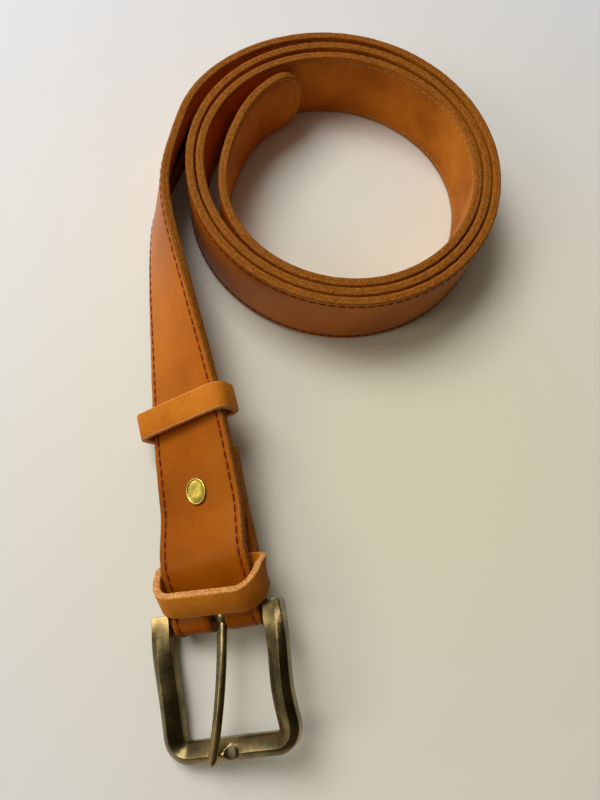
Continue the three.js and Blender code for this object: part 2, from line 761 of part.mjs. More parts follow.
function fixedKeeper() {
  const rise = FIXED_KEEPER_FRONT_HEIGHT - FIXED_KEEPER_BACK_HEIGHT;
  const share = (height) => (height - FIXED_KEEPER_BACK_HEIGHT) / rise;
  const lean = (height) => FIXED_KEEPER_LEAN * share(height);
  const shift = (x, height) => (
    lerp(FIXED_KEEPER_BACK_AT, FIXED_KEEPER_FRONT_AT, share(height)) - FIXED_KEEPER_SKEW * x);
  const loop = roundedLoop(
    FIXED_KEEPER_HALF_WIDTH, FIXED_KEEPER_BACK_HEIGHT, FIXED_KEEPER_FRONT_HEIGHT,
    FIXED_KEEPER_BACK_CORNER, FIXED_KEEPER_FRONT_CORNER);
  const band = keeperBand(loop, FIXED_KEEPER_BAND, FIXED_KEEPER_THICKNESS, lean, shift);
  return band.translate(FIXED_KEEPER_SLID, 0, 0);
}

// ---------------------------------------------------------------- buckle

// All in the buckle's own axes: x along the bar, y back towards the strap, z out.

const armMiddle = (BUCKLE_INNER_WIDTH + BUCKLE_ARM_WIDTH) / 2;

// The right half of the frame's middle line, from the end bar's middle to the heel.
function frameHalfLine() {
  const points = [{ x: 0, y: BUCKLE_END_BAR_AT, width: BUCKLE_END_BAR_WIDTH }];
  for (let step = 0; step <= BUCKLE_CORNER_STEPS; step++) {
    const share = step / BUCKLE_CORNER_STEPS;
    const angle = radians(-90 + 90 * share);
    points.push({
      x: armMiddle + BUCKLE_CORNER_RADIUS * (Math.cos(angle) - 1),
      y: BUCKLE_END_BAR_AT + BUCKLE_CORNER_RADIUS * (1 + Math.sin(angle)),
      width: lerp(BUCKLE_END_BAR_WIDTH, BUCKLE_ARM_WIDTH, share),
    });
  }
  const armEnd = BUCKLE_END_BAR_AT + BUCKLE_CORNER_RADIUS;
  for (let step = 1; step <= BUCKLE_ARM_STEPS; step++) {
    const y = lerp(armEnd, BUCKLE_HEEL, step / BUCKLE_ARM_STEPS);
    const waist = BUCKLE_ARM_WAIST * Math.sin(-2 * Math.PI * Math.min(y, 0) / BUCKLE_WAIST_LENGTH);
    points.push({ x: armMiddle + waist, y, width: BUCKLE_ARM_WIDTH });
  }
  return points;
}

// The frame is arched in side view: its middle stands proud of its heel and of its end bar.
function frameRise(y) {
  const share = THREE.MathUtils.clamp(y / BUCKLE_END_BAR_AT, 0, 1);
  return BUCKLE_ARCH * Math.sin(Math.PI * share) - lerp(BUCKLE_HEEL_DROP, BUCKLE_END_DROP, share);
}

// The frame's section: flat below, with two slopes above. They meet in a ridge that lies nearer
// to the frame's outer side, which is the negative one.
function frameOutline({ width }) {
  const half = width / 2;
  const [bottom, top] = [-BUCKLE_HEIGHT / 2, BUCKLE_HEIGHT / 2];
  return [
    [-half, bottom], [half, bottom], [half, INNER_EDGE_SHARE * top],
    [-RIDGE_SHARE * half, top], [-half, OUTER_EDGE_SHARE * top],
  ];
}

function barHoleTool(hand) {
  const middle = BUCKLE_INNER_WIDTH / 2 + (BAR_HOLE_DEPTH - BAR_HOLE_RADIUS) / 2;
  const length = BAR_HOLE_DEPTH + BAR_HOLE_RADIUS;
  return post(BAR_HOLE_RADIUS, length).rotateY(Math.PI / 2).translate(hand * middle, 0, 0);
}

function buckleFrame() {
  const right = frameHalfLine();
  const left = right.slice(1).map((point) => ({ ...point, x: -point.x })).reverse();
  const line = [...left, ...right];
  const stations = line.map(({ x, y, width }, i) => {
    const before = line[Math.max(i - 1, 0)];
    const after = line[Math.min(i + 1, line.length - 1)];
    const heading = new THREE.Vector3(after.x - before.x, after.y - before.y, 0).normalize();
    const side = new THREE.Vector3().crossVectors(UP, heading);
    return { point: new THREE.Vector3(x, y, frameRise(y)), side, out: UP.clone(), width };
  });
  const notchTop = frameRise(BUCKLE_END_BAR_AT) + BUCKLE_HEIGHT / 2;
  const notch = block(NOTCH_WIDTH, 2 * BUCKLE_END_BAR_WIDTH, 2 * NOTCH_DEPTH, 0, BUCKLE_END_BAR_AT, notchTop);
  return cut(sweep(stations, frameOutline), [barHoleTool(1), barHoleTool(-1), notch]);
}

function buckleBar() {
  return post(BAR_RADIUS, BUCKLE_INNER_WIDTH + 2 * BAR_END).rotateY(Math.PI / 2);
}

function prongOutline({ taper }) {
  const [wide, thick] = [taper * PRONG_WIDTH / 2, taper * PRONG_THICKNESS / 2];
  return [[wide, 0], [wide / 2, thick], [-wide / 2, thick], [-wide, 0], [-wide / 2, -thick], [wide / 2, -thick]];
}

// The blade is arched outward and bent a little sideways.
function prong() {
  const half = PRONG_EYE_WIDTH / 2;
  const eye = turned([
    [PRONG_EYE_INNER, -half], [PRONG_EYE_OUTER, -half], [PRONG_EYE_OUTER, half], [PRONG_EYE_INNER, half],
  ]).rotateY(Math.PI / 2);
  const middle = (share) => {
    const height = lerp(PRONG_START_HEIGHT, PRONG_TIP_HEIGHT, share) + PRONG_ARCH * Math.sin(Math.PI * share);
    const bend = PRONG_BEND * Math.sin(Math.PI * share);
    return new THREE.Vector3(bend, -lerp(PRONG_START, PRONG_REACH, share), height);
  };
  const stations = Array.from({ length: PRONG_STEPS + 1 }, (_, step) => {
    const share = step / PRONG_STEPS;
    const heading = middle(share + 0.01).sub(middle(share - 0.01)).normalize();
    const side = new THREE.Vector3(1, 0, 0);
    const out = new THREE.Vector3().crossVectors(heading, side);
    return { point: middle(share), side, out, taper: lerp(1, PRONG_TIP_SHARE, share) };
  });
  const blade = sweep(stations, prongOutline).rotateZ(radians(-PRONG_SKEW));
  return join(eye, blade).translate(PRONG_AT, 0, 0);
}

// ---------------------------------------------------------------- screw rivet

const rivetTop = HALF_THICKNESS + RIVET_GAP;
const rivetBottom = -(HALF_THICKNESS + STRAP_THICKNESS + LAYER_CLEARANCE + RIVET_GAP);

function rivetPost() {
  const barrelEnd = rivetBottom + RIVET_BARREL_GAP;
  const boreTop = barrelEnd + RIVET_BORE_DEPTH;
  const barrelTop = rivetTop + RIVET_HEAD_EDGE;
  const barrel = turned([
    [ON_AXIS, boreTop], [RIVET_BORE_RADIUS, boreTop], [RIVET_BORE_RADIUS, barrelEnd],
    [RIVET_BARREL_RADIUS, barrelEnd], [RIVET_BARREL_RADIUS, barrelTop], [ON_AXIS, barrelTop],
  ]);
  const head = turned([
    [ON_AXIS, rivetTop], [RIVET_HEAD_RADIUS, rivetTop], [RIVET_HEAD_RADIUS, rivetTop + RIVET_HEAD_EDGE],
    [RIVET_HEAD_RADIUS - RIVET_RIM_SLOPE, rivetTop + RIVET_HEAD_RIM],
    [RIVET_HEAD_RADIUS - RIVET_RIM_WIDTH, rivetTop + RIVET_HEAD_DISH], [ON_AXIS, rivetTop + RIVET_HEAD_DISH],
  ]);
  return join(barrel, head.scale(RIVET_HEAD_OVAL, 1, 1));
}

function rivetScrew() {
  const underside = rivetBottom - SCREW_HEAD_THICKNESS;
  const shankEnd = rivetBottom + SCREW_SHANK_LENGTH;
  const body = turned([
    [ON_AXIS, underside], [SCREW_HEAD_RADIUS - RIVET_RIM_SLOPE, underside],
    [SCREW_HEAD_RADIUS, rivetBottom - SCREW_HEAD_EDGE], [SCREW_HEAD_RADIUS, rivetBottom],
    [SCREW_SHANK_RADIUS, rivetBottom], [SCREW_SHANK_RADIUS, shankEnd], [ON_AXIS, shankEnd],
  ]);
  const slotLength = 3 * SCREW_HEAD_RADIUS;
  return cut(body, [block(SCREW_SLOT_WIDTH, slotLength, 2 * SCREW_SLOT_DEPTH, 0, 0, underside)]);
}

// ---------------------------------------------------------------- the assembly

const belt = new THREE.Group();
belt.name = 'money_belt';

function addPart(parent, name, geometry, look) {
  const mesh = new THREE.Mesh(geometry, look);
  mesh.name = name;
  parent.add(mesh);
  return mesh;
}

function addGroup(name, station, parent = belt) {
  const group = placeAt(new THREE.Group(), station);
  group.name = name;
  parent.add(group);
  return group;
}

addPart(belt, 'strap_face', strapFace(), grainLeather);
addPart(belt, 'strap_lining', strapLining(), liningLeather);
addPart(belt, 'needle_thread', needleThread(), redThread);
addPart(belt, 'bobbin_thread', bobbinThread(), goldThread);
addPart(belt, 'pocket_thread', pocketThread(), goldThread);
addPart(belt, 'zip_tape_upper', zipTape(1), zipFabric);
addPart(belt, 'zip_tape_lower', zipTape(-1), zipFabric);
addPart(belt, 'zip_teeth_upper', zipCoilRow(1), zipNylon);
addPart(belt, 'zip_teeth_lower', zipCoilRow(-1), zipNylon);
placeAt(addPart(belt, 'zip_top_stop', zipStop(), zipBrass), stationAt(pocketEndRun - STOP_LENGTH));
placeAt(addPart(belt, 'zip_bottom_stop', zipStop(), zipBrass), stationAt(pocketStartRun + STOP_LENGTH));

const sliderGroup = addGroup('slider_group', stationAt(barRun - SLIDER_AT));
addPart(sliderGroup, 'zip_slider', zipSlider(), zipBrass);
addPart(sliderGroup, 'zip_pull', zipPull(), zipBrass).position.z = pullAxisHeight;

const rivetGroup = addGroup('rivet_group', stationAt(barRun - RIVET_AT));
addPart(rivetGroup, 'rivet_post', rivetPost(), rivetBrass);
addPart(rivetGroup, 'rivet_screw', rivetScrew(), rivetBrass);

const freeKeeperGroup = addGroup('free_keeper_group', stationAt(barRun - FREE_KEEPER_AT));
addPart(freeKeeperGroup, 'free_keeper', freeKeeper(), keeperLeather);

const buckleGroup = addGroup('buckle_group', barFrame());
addPart(buckleGroup, 'fixed_keeper', fixedKeeper(), keeperLeather);
addPart(buckleGroup, 'buckle_frame', buckleFrame(), antiqueBrass);
addPart(buckleGroup, 'buckle_bar', buckleBar(), barSteel);
addPart(buckleGroup, 'prong', prong(), antiqueBrass);

export default belt;
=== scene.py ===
"""A rolled leather money belt with a prong buckle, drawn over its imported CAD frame.

Lengths are millimetres until a mesh is made, when they become metres. The strap is one long
path, from its tip in the middle of the coil, out round three turns, along the let-out end, over
the buckle bar and back under itself. Its layers, seams and zip tapes are swept along it.
"""
import json
import math

import bpy
import numpy as np
from mathutils import Matrix, Vector, noise


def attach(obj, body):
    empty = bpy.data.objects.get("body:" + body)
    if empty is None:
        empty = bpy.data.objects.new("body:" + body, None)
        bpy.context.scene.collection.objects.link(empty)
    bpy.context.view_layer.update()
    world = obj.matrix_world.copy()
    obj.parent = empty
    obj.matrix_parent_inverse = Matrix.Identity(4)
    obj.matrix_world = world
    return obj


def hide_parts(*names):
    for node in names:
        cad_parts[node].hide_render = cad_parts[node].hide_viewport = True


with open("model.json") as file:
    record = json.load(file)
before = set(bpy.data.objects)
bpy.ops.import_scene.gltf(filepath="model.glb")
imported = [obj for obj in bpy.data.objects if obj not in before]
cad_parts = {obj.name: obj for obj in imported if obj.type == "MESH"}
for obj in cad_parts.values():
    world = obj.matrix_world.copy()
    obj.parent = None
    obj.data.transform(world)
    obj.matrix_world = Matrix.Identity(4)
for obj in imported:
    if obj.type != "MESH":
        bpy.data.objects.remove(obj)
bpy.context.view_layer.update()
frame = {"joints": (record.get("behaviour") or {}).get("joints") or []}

MM = 0.001
JOINTS = {joint["name"]: joint for joint in frame["joints"]}

# ------------ sizes, millimetres

BAR = np.array(JOINTS["buckle_hinge"]["pos_m"]) / MM
BAR_AXIS = np.array(JOINTS["buckle_hinge"]["axis"])
TILT = math.atan2(BAR_AXIS[2], BAR_AXIS[0])

HALF_WIDTH = 16.0
HALF_THICKNESS = 1.7
TIP_CORNER = 12.0

COIL_CENTRE = BAR[:2] + (72.3, 166.9)
COIL_RADIUS = 66.1
COIL_PITCH = 4.0
COIL_TURNING = 1134
EXIT_DIRECTION = 155.5
EXIT_BULGE, EXIT_BULGE_SPREAD = 3.7, 38
TIP_DIP, TIP_DIP_AT, TIP_DIP_SPREAD = 7.0, 1078, 38
SQUASH_PER_TURN, SQUASH_DIRECTION = 1.4, 80.5

EXIT_HANDLE = 46.0
BUCKLE_HANDLE = 158.0
BUCKLE_HANDLE_TURN = 1.6
STRAIGHT_END = 16.0
TWIST_START, TWIST_END = -25.5, 192.5
LIFT_START, LIFT_LENGTH = -98.0, 60.0

STRAP_SLID = 1.0
FOLD_RADIUS = 3.6
FOLD_BACK_LENGTH = 56.5
FRONT_BOW = 4.5
BOW_START, BOW_PEAK = 5.0, 19.0
LAYERS_PART_AT, LAYERS_MEET_AT = 16.0, 39.0
LAYER_CLEARANCE = 0.4
SLOT_WIDTH = 6.0
SLOT_OFF_MIDDLE = 0.7
SLOT_REACH = 9.0

RING_SPACING = 2.5
FOLD_RING_SPACING, FOLD_MARGIN = 0.7, 6
EDGE_ROUGHNESS, FACE_ROUGHNESS = 0.14, 0.05
ROUGH_FROM = 15.2

STITCH_INSET = 2.3
STITCH_GROOVE = [(-0.9, 0), (-0.45, 0.09), (0, 0.16), (0.45, 0.09), (0.9, 0)]
STITCH_PITCH = 3.8
THREAD_RADIUS = 0.26

# Where the grain starts to grow darker towards the buckle, and over how long.
DARKER_FROM = 105.0
DARKER_LENGTH = 60.0

SIZE_HOLES = [90 + 25 * i for i in range(5)]
SIZE_HOLE_RADIUS = 2.25
HOLE_CUTTER_REACH, SLOT_CUTTER_REACH = 2.05, 9

KEEPER_BAND = 10.0
FREE_KEEPER_AT = 72.0
FREE_KEEPER_SLID = -0.1
FREE_KEEPER_ROLL, FREE_KEEPER_SLANT = 6, 4
FREE_KEEPER_HALF_WIDTH, FREE_KEEPER_HALF_DEPTH = 18.15, 5.75
FREE_KEEPER_CORNER = 3.4
FREE_KEEPER_THICKNESS = 2.5
FIXED_KEEPER_SLID = 1.2
FIXED_KEEPER_HALF_WIDTH = 18.6
FIXED_KEEPER_BACK, FIXED_KEEPER_FRONT = 1.1, 11.9
FIXED_KEEPER_BACK_CORNER, FIXED_KEEPER_FRONT_CORNER = 2.4, 7.0
FIXED_KEEPER_BACK_AT, FIXED_KEEPER_FRONT_AT = 14.5, 4.7
FIXED_KEEPER_LEAN, FIXED_KEEPER_SKEW = 46, 0.05
FIXED_KEEPER_THICKNESS = 2.6

FRAME_INNER_WIDTH = 34.0
ARM_WIDTH, END_BAR_WIDTH = 7.0, 6.8
ARM_WAIST, WAIST_LENGTH = 0.4, 36.0
END_BAR_AT = -42.2
FRAME_CORNER = 5.0
HEEL, HEEL_ROUNDING = 2.6, 1.4
RIDGE_FADE = 20.0
FRAME_HIGH = 3.4
FRAME_ARCH = 2.4
HEEL_DROP, END_BAR_DROP = 0.4, 1.5
INNER_SLOPE, OUTER_SLOPE = 0.70, 0.52
NOTCH_RADIUS, NOTCH_DEPTH = 2.75, 1.3
BAR_RADIUS, BAR_HALF_LENGTH = 1.6, 20.0
PRONG_START, PRONG_LENGTH = 2.7, 44.5
PRONG_BEND, PRONG_ARCH, PRONG_HEIGHT = 2.0, 2.4, 1.5
PRONG_TAPER, PRONG_ROUND_FROM = 0.15, 0.95
PRONG_SKEW = -11.5
PRONG_OFF_MIDDLE = 2.7
PRONG_HALF_WIDTH, PRONG_HALF_THICKNESS = 1.85, 1.3

RIVET_AT = 42.5
RIVET_TOP, RIVET_BOTTOM = 2.0, -5.8
RIVET_OVAL = 0.8

POCKET_NEAR_END = 98.0
POCKET_LENGTH = 470.0
WINDOW_WIDTH = 9.0
POCKET_SEAM_CLEARANCE = 2
TAPE_SPARE, STOP_INSET, TEETH_INSET = 1, 2, 4
TEETH_PITCH = 1.6
SLIDER_AT = 109.0
SLIDER_HALF_WIDTH, SLIDER_HALF_LENGTH = 3.4, 4.25
FLANGE_AT, FLANGE_HALF_WIDTH = 2.72, 0.37
PULL_AXIS = -3.45
PULL_HALF_WIDTH, PULL_LENGTH, PULL_HALF_THICKNESS = 2.5, 22.0, 0.45

CAMERA_FROM_BAR, CAMERA_HEIGHT = (7.7, 0.85), 251.6
CAMERA_ANGLES = (-24.5, 71.478, 16.243)
CAMERA_LENS = 29.25


# ------------ the strap's path

def smoothstep(value):
    t = np.clip(value, 0.0, 1.0)
    return t * t * (3 - 2 * t)


def unit(vectors):
    """Vectors scaled to a length of one."""
    return vectors / np.linalg.norm(vectors, axis=-1, keepdims=True)


def run_lengths(points):
    """How far along their line each of the points is."""
    return np.concatenate([[0], np.cumsum(np.linalg.norm(np.diff(points, axis=0), axis=1))])


def headings(points):
    """The way that a line of points runs at each of them."""
    points = np.array(points)
    padded = np.concatenate([points[:1], points, points[-1:]])
    return unit(padded[2:] - padded[:-2])


def coil_points(winding):
    """Plan points of the coil's middle line at winding angles, in degrees from its exit."""
    direction = np.radians(EXIT_DIRECTION - winding)
    facing = np.maximum(0, np.cos(direction - math.radians(SQUASH_DIRECTION)))
    radius = (
        COIL_RADIUS
        - COIL_PITCH * winding / 360
        + EXIT_BULGE * np.exp(-((winding / EXIT_BULGE_SPREAD) ** 2))
        - TIP_DIP * np.exp(-(((winding - TIP_DIP_AT) / TIP_DIP_SPREAD) ** 2))
        - SQUASH_PER_TURN * winding / 360 * facing**2
    )
    return COIL_CENTRE + radius[:, None] * np.stack([np.cos(direction), np.sin(direction)], 1)


def tail_points(count):
    """Plan points of the let-out end, one cubic curve from the coil's exit to the straight end."""
    start, before = coil_points(np.array([0.0, 0.5]))
    heading = unit(start - before)
    slid = STRAP_SLID * math.cos(TILT) - FOLD_RADIUS * math.sin(TILT)
    end = BAR[:2] + (slid, STRAIGHT_END)
    turn = math.radians(BUCKLE_HANDLE_TURN)
    first = start + EXIT_HANDLE * heading
    second = end + BUCKLE_HANDLE * np.array([-math.sin(turn), math.cos(turn)])
    t = np.linspace(0, 1, count)[:, None]
    return (1 - t) ** 3 * start + 3 * t * (1 - t) ** 2 * first + 3 * t**2 * (1 - t) * second + t**3 * end


def rest_height(twist):
    return HALF_WIDTH * np.sin(twist) + HALF_THICKNESS * np.cos(twist)


class Path:
    """Places along the strap's middle surface, by distance from its tip."""

    def __init__(self, point, side, out):
        self.point, self.side, self.out = point, side, out
        self.distance = run_lengths(point)
        self.length = self.distance[-1]

    def mix(self, values, distance):
        return np.stack([np.interp(distance, self.distance, values[:, k]) for k in range(3)], -1)

    def frame(self, distance):
        """Point, way across and way out at one distance or an array of them."""
        side = unit(self.mix(self.side, distance))
        out = unit(self.mix(self.out, distance))
        return self.mix(self.point, distance), side, out

    def spot(self, distance, across, out):
        """A point beside the path."""
        point, side, outward = self.frame(distance)
        return point + side * across + outward * out


def front_bow(from_bar):
    """How far the front layer bows out where the fixed keeper parts it from the one behind."""
    rise = smoothstep((from_bar - BOW_START) / (BOW_PEAK - BOW_START))
    fall = smoothstep((from_bar - BOW_PEAK) / (LAYERS_MEET_AT - BOW_PEAK))
    return FRONT_BOW * (rise - fall)


def front_path():
    """The front layer's points, ways across and out, and distances from the bar, tip first."""
    coil = coil_points(np.arange(COIL_TURNING, 0, -2.0))
    tail = tail_points(260)
    straight = tail[-1] + np.linspace(0, -STRAIGHT_END, 9)[1:, None] * np.array([0, 1])
    plan = np.concatenate([coil, tail, straight])
    run = run_lengths(plan)
    run -= run[len(coil)]
    tail_length = run[len(coil) + len(tail) - 1]
    heading = unit(np.gradient(plan, run, axis=0))
    turned = smoothstep((run - TWIST_START) / (TWIST_END - TWIST_START))
    twist = math.pi / 2 + (TILT - math.pi / 2) * turned
    full_lift = BAR[2] + STRAP_SLID * math.sin(TILT) + FOLD_RADIUS * math.cos(TILT) - rest_height(TILT)
    lift = full_lift * smoothstep((run - tail_length - LIFT_START) / LIFT_LENGTH)
    point = np.column_stack([plan, rest_height(twist) + lift])
    side = np.column_stack([-heading[:, 1] * np.cos(twist), heading[:, 0] * np.cos(twist), np.sin(twist)])
    out = np.cross(np.column_stack([heading, np.zeros(len(run))]), side)
    from_bar = run[-1] - run
    return point + out * front_bow(from_bar)[:, None], side, out, from_bar


def strap_path():
    """The whole strap: the front, the fold round the bar and the part folded back under."""
    point, side, out, from_bar = front_path()
    end_side, end_out = side[-1], out[-1]
    turn = np.linspace(0, math.pi, 25)[1:-1, None]
    fold_out = end_out * np.cos(turn) + np.array([0, -1, 0]) * np.sin(turn)
    fold_point = BAR + STRAP_SLID * end_side + FOLD_RADIUS * fold_out
    back = np.flatnonzero(from_bar <= FOLD_BACK_LENGTH)[::-1]
    meeting = smoothstep((from_bar[back] - LAYERS_PART_AT) / (LAYERS_MEET_AT - LAYERS_PART_AT))
    spacing = 2 * FOLD_RADIUS + (2 * HALF_THICKNESS + LAYER_CLEARANCE - 2 * FOLD_RADIUS) * meeting
    spacing += front_bow(from_bar[back])
    back_point = point[back] - out[back] * spacing[:, None]
    fold_side = np.repeat(end_side[None], len(turn), 0)
    return Path(
        np.concatenate([point, fold_point, back_point]),
        np.concatenate([side, fold_side, side[back]]),
        np.concatenate([out, fold_out, -out[back]]),
    ), from_bar[0]


PATH, BAR_DISTANCE = strap_path()
WINDOW_NEAR = BAR_DISTANCE - POCKET_NEAR_END
WINDOW_FAR = WINDOW_NEAR - POCKET_LENGTH


def along_strap(outline, distances):
    """A ring of the (across, out) outline at each distance."""
    return [[PATH.spot(d, a, o) for a, o in outline] for d in distances]


def on_strap(distance):
    """Makes a function that places (across, along, out) on the strap at a distance."""
    point, side, out = PATH.frame(distance)
    along = np.cross(out, side)

    def place(x, y, z):
        return point + side * x + along * y + out * z
    return place


def bar_point(x, y, z):
    """A point in the buckle's own axes: along the bar, back towards the strap, outward."""
    out = np.array([-math.sin(TILT), 0, math.cos(TILT)])
    along = np.array([math.cos(TILT), 0, math.sin(TILT)])
    return BAR + x * along + y * np.array([0, 1, 0]) + z * out


# ------------ meshes

def new_object(name, data):
    """An object in the scene, for a mesh, a light or a camera."""
    made = bpy.data.objects.new(name, data)
    bpy.context.scene.collection.objects.link(made)
    return made


class Builder:
    """Collects vertices, faces, strap coordinates and material numbers into one mesh."""

    def __init__(self):
        self.vertices, self.faces, self.slots, self.uvs = [], [], [], []

    def add_face(self, corners, slot, uv=None):
        self.faces.append(corners)
        self.slots.append(slot)
        self.uvs.append(uv or [(0, 0)] * len(corners))

    def sweep(self, rings, uv_across=None, uv_along=None, slots=None, loop=False, cap_slot=0):
        """Joins rings of points; each strip between outline points may have its own slot."""
        start = len(self.vertices)
        count = len(rings[0])
        uv_across = uv_across or [0] * count
        uv_along = uv_along or [0] * len(rings)
        for ring in rings:
            self.vertices.extend(ring)
        last = len(rings) if loop else len(rings) - 1
        for i in range(last):
            here, there = start + i * count, start + (i + 1) % len(rings) * count
            along, further = uv_along[i], uv_along[(i + 1) % len(rings)]
            for j in range(count):
                k = (j + 1) % count
                across, beside = uv_across[j], uv_across[k]
                uv = [(along, across), (along, beside), (further, beside), (further, across)]
                self.add_face([here + j, here + k, there + k, there + j], slots[j] if slots else 0, uv)
        if not loop:
            end = start + (len(rings) - 1) * count
            self.add_face([start + j for j in reversed(range(count))], cap_slot)
            self.add_face([end + j for j in range(count)], cap_slot)

    def build(self, name, materials, sharp_angle=40):
        mesh = bpy.data.meshes.new(name)
        mesh.from_pydata([tuple(float(c) * MM for c in v) for v in self.vertices], [], self.faces)
        layer = mesh.uv_layers.new(name="strap")
        flat = [c for face in self.uvs for corner in face for c in corner]
        layer.data.foreach_set("uv", flat)
        for material in materials:
            mesh.materials.append(material)
        mesh.polygons.foreach_set("material_index", self.slots)
        mesh.shade_smooth()
        mesh.set_sharp_from_angle(angle=math.radians(sharp_angle))
        mesh.validate()
        return new_object(name, mesh)


def solid(name, rings, material, sharp_angle=40):
    """A closed piece of one material, swept through rings of points."""
    builder = Builder()
    builder.sweep(rings)
    return builder.build(name, [material], sharp_angle)


def levels(place, outline, heights):
    """An outline placed at each height."""
    return [[place(x, y, z) for x, y in outline] for z in heights]


def finish_piece(piece, body, slot, *nodes):
    """Hangs a piece on its body, and hides the CAD nodes that it stands for."""
    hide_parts(*nodes)
    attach(piece, body)


def soften(piece, width, segments=3, angle=30):
    """Rounds a piece's sharp edges."""
    modifier = piece.modifiers.new("soften", "BEVEL")
    modifier.width = width * MM
    modifier.segments = segments
    modifier.limit_method = "ANGLE"
    modifier.angle_limit = math.radians(angle)
    apply_modifiers(piece)


def apply_modifiers(piece):
    """Turns a piece's modifiers into plain mesh."""
    depsgraph = bpy.context.evaluated_depsgraph_get()
    mesh = bpy.data.meshes.new_from_object(piece.evaluated_get(depsgraph), depsgraph=depsgraph)
    piece.modifiers.clear()
    piece.data = mesh


def cut_with(piece, cutter):
    """Takes a cutter's shape out of a piece and removes the cutter."""
    modifier = piece.modifiers.new("cut", "BOOLEAN")
    modifier.operation = "DIFFERENCE"
    modifier.solver = "EXACT"
    modifier.material_mode = "TRANSFER"
    modifier.object = cutter
    apply_modifiers(piece)
    bpy.data.objects.remove(cutter)


def ring_points(radius_x, radius_y, count):
    angles = [2 * math.pi * i / count for i in range(count)]
    return [(radius_x * math.cos(a), radius_y * math.sin(a)) for a in angles]


def half_circle(radius, centre):
    """The upper half of a circle whose centre is at a height, from right to left."""
    angles = [math.pi * i / 12 for i in range(13)]
    return [(radius * math.cos(a), centre + radius * math.sin(a)) for a in angles]


def mirrored(points):
    """An outline's points on the other side of its middle, in the order that goes on round it."""
    return [(-across, out) for across, out in reversed(points)]


def rectangle(left, right, bottom, top):
    return [(left, bottom), (right, bottom), (right, top), (left, top)]


# ------------ materials

def add(tree, kind, inputs=None, **settings):
    """Adds a shader node, sets its properties, and sets or links its inputs."""
    made = tree.nodes.new(kind)
    for key, value in settings.items():
        setattr(made, key, value)
    for key, value in (inputs or {}).items():
        if isinstance(value, bpy.types.NodeSocket):
            tree.links.new(value, made.inputs[key])
        else:
            made.inputs[key].default_value = value
    return made


def new_material(name, **surface):
    """A material, its node tree, and its principled shader with the given inputs."""
    material = bpy.data.materials.new(name)
    material.use_nodes = True
    tree = material.node_tree
    shader = tree.nodes["Principled BSDF"]
    for key, value in surface.items():
        shader.inputs[key.replace("_", " ")].default_value = value
    return material, tree, shader


def maths(tree, operation, first, second=0.0, clamp=False):
    made = add(tree, "ShaderNodeMath", {0: first, 1: second}, operation=operation, use_clamp=clamp)
    return made.outputs[0]


def texture(tree, kind, scale, detail=4.0, stretch=(1, 1, 1)):
    """A noise or cell texture in metres of the object, stretched along its axes."""
    source = add(tree, "ShaderNodeTexCoord").outputs["Object"]
    mapping = add(tree, "ShaderNodeMapping", {"Vector": source, "Scale": stretch})
    inputs = {"Vector": mapping.outputs[0], "Scale": scale}
    if kind == "noise":
        inputs["Detail"] = detail
        return add(tree, "ShaderNodeTexNoise", inputs).outputs["Fac"]
    return add(tree, "ShaderNodeTexVoronoi", inputs, feature="DISTANCE_TO_EDGE").outputs["Distance"]


def ramp(tree, value, stops):
    """A colour ramp from (position, colour) stops."""
    made = add(tree, "ShaderNodeValToRGB", {"Fac": value})
    elements = made.color_ramp.elements
    while len(elements) < len(stops):
        elements.new(0.5)
    for element, (position, colour) in zip(elements, stops):
        element.position = position
        element.color = (*colour, 1)
    return made.outputs["Color"]


def blend_colours(tree, amount, first, second, mode):
    """Blends a second colour, plain or from a node, into a first one from a node."""
    if isinstance(second, tuple):
        second = (*second, 1)
    inputs = {0: amount, 6: first, 7: second}
    return add(tree, "ShaderNodeMix", inputs, data_type="RGBA", blend_type=mode).outputs[2]


def bump(tree, shader, *layers):
    """Stacks (height, distance in metres, strength) layers into the shader's normal."""
    normal = None
    for height, distance, strength in layers:
        inputs = {"Height": height, "Distance": distance, "Strength": strength}
        if normal:
            inputs["Normal"] = normal
        normal = add(tree, "ShaderNodeBump", inputs).outputs["Normal"]
    tree.links.new(normal, shader.inputs["Normal"])


def finish_material(surface, colour, *bumps):
    """Gives a new material its colour and its bumps."""
    material, tree, shader = surface
    tree.links.new(colour, shader.inputs["Base Color"])
    bump(tree, shader, *bumps)
    return material


def strap_coordinate(tree, axis):
    """Distance from the tip (X) or from the strap's middle line (Y), in millimetres."""
    uv = add(tree, "ShaderNodeUVMap", uv_map="strap")
    return add(tree, "ShaderNodeSeparateXYZ", {"Vector": uv.outputs[0]}).outputs[axis]


def near_buckle_share(tree):
    """Grows from 0 to 1 over the part of the strap next to the buckle."""
    beyond = maths(tree, "SUBTRACT", strap_coordinate(tree, "X"), BAR_DISTANCE - DARKER_FROM)
    return maths(tree, "DIVIDE", beyond, DARKER_LENGTH, clamp=True)


def speckled(tree, amount, colour, grains, low, high):
    """Works fine (position, colour) grains into a colour."""
    return blend_colours(tree, amount, colour, ramp(tree, grains, [low, high]), "OVERLAY")


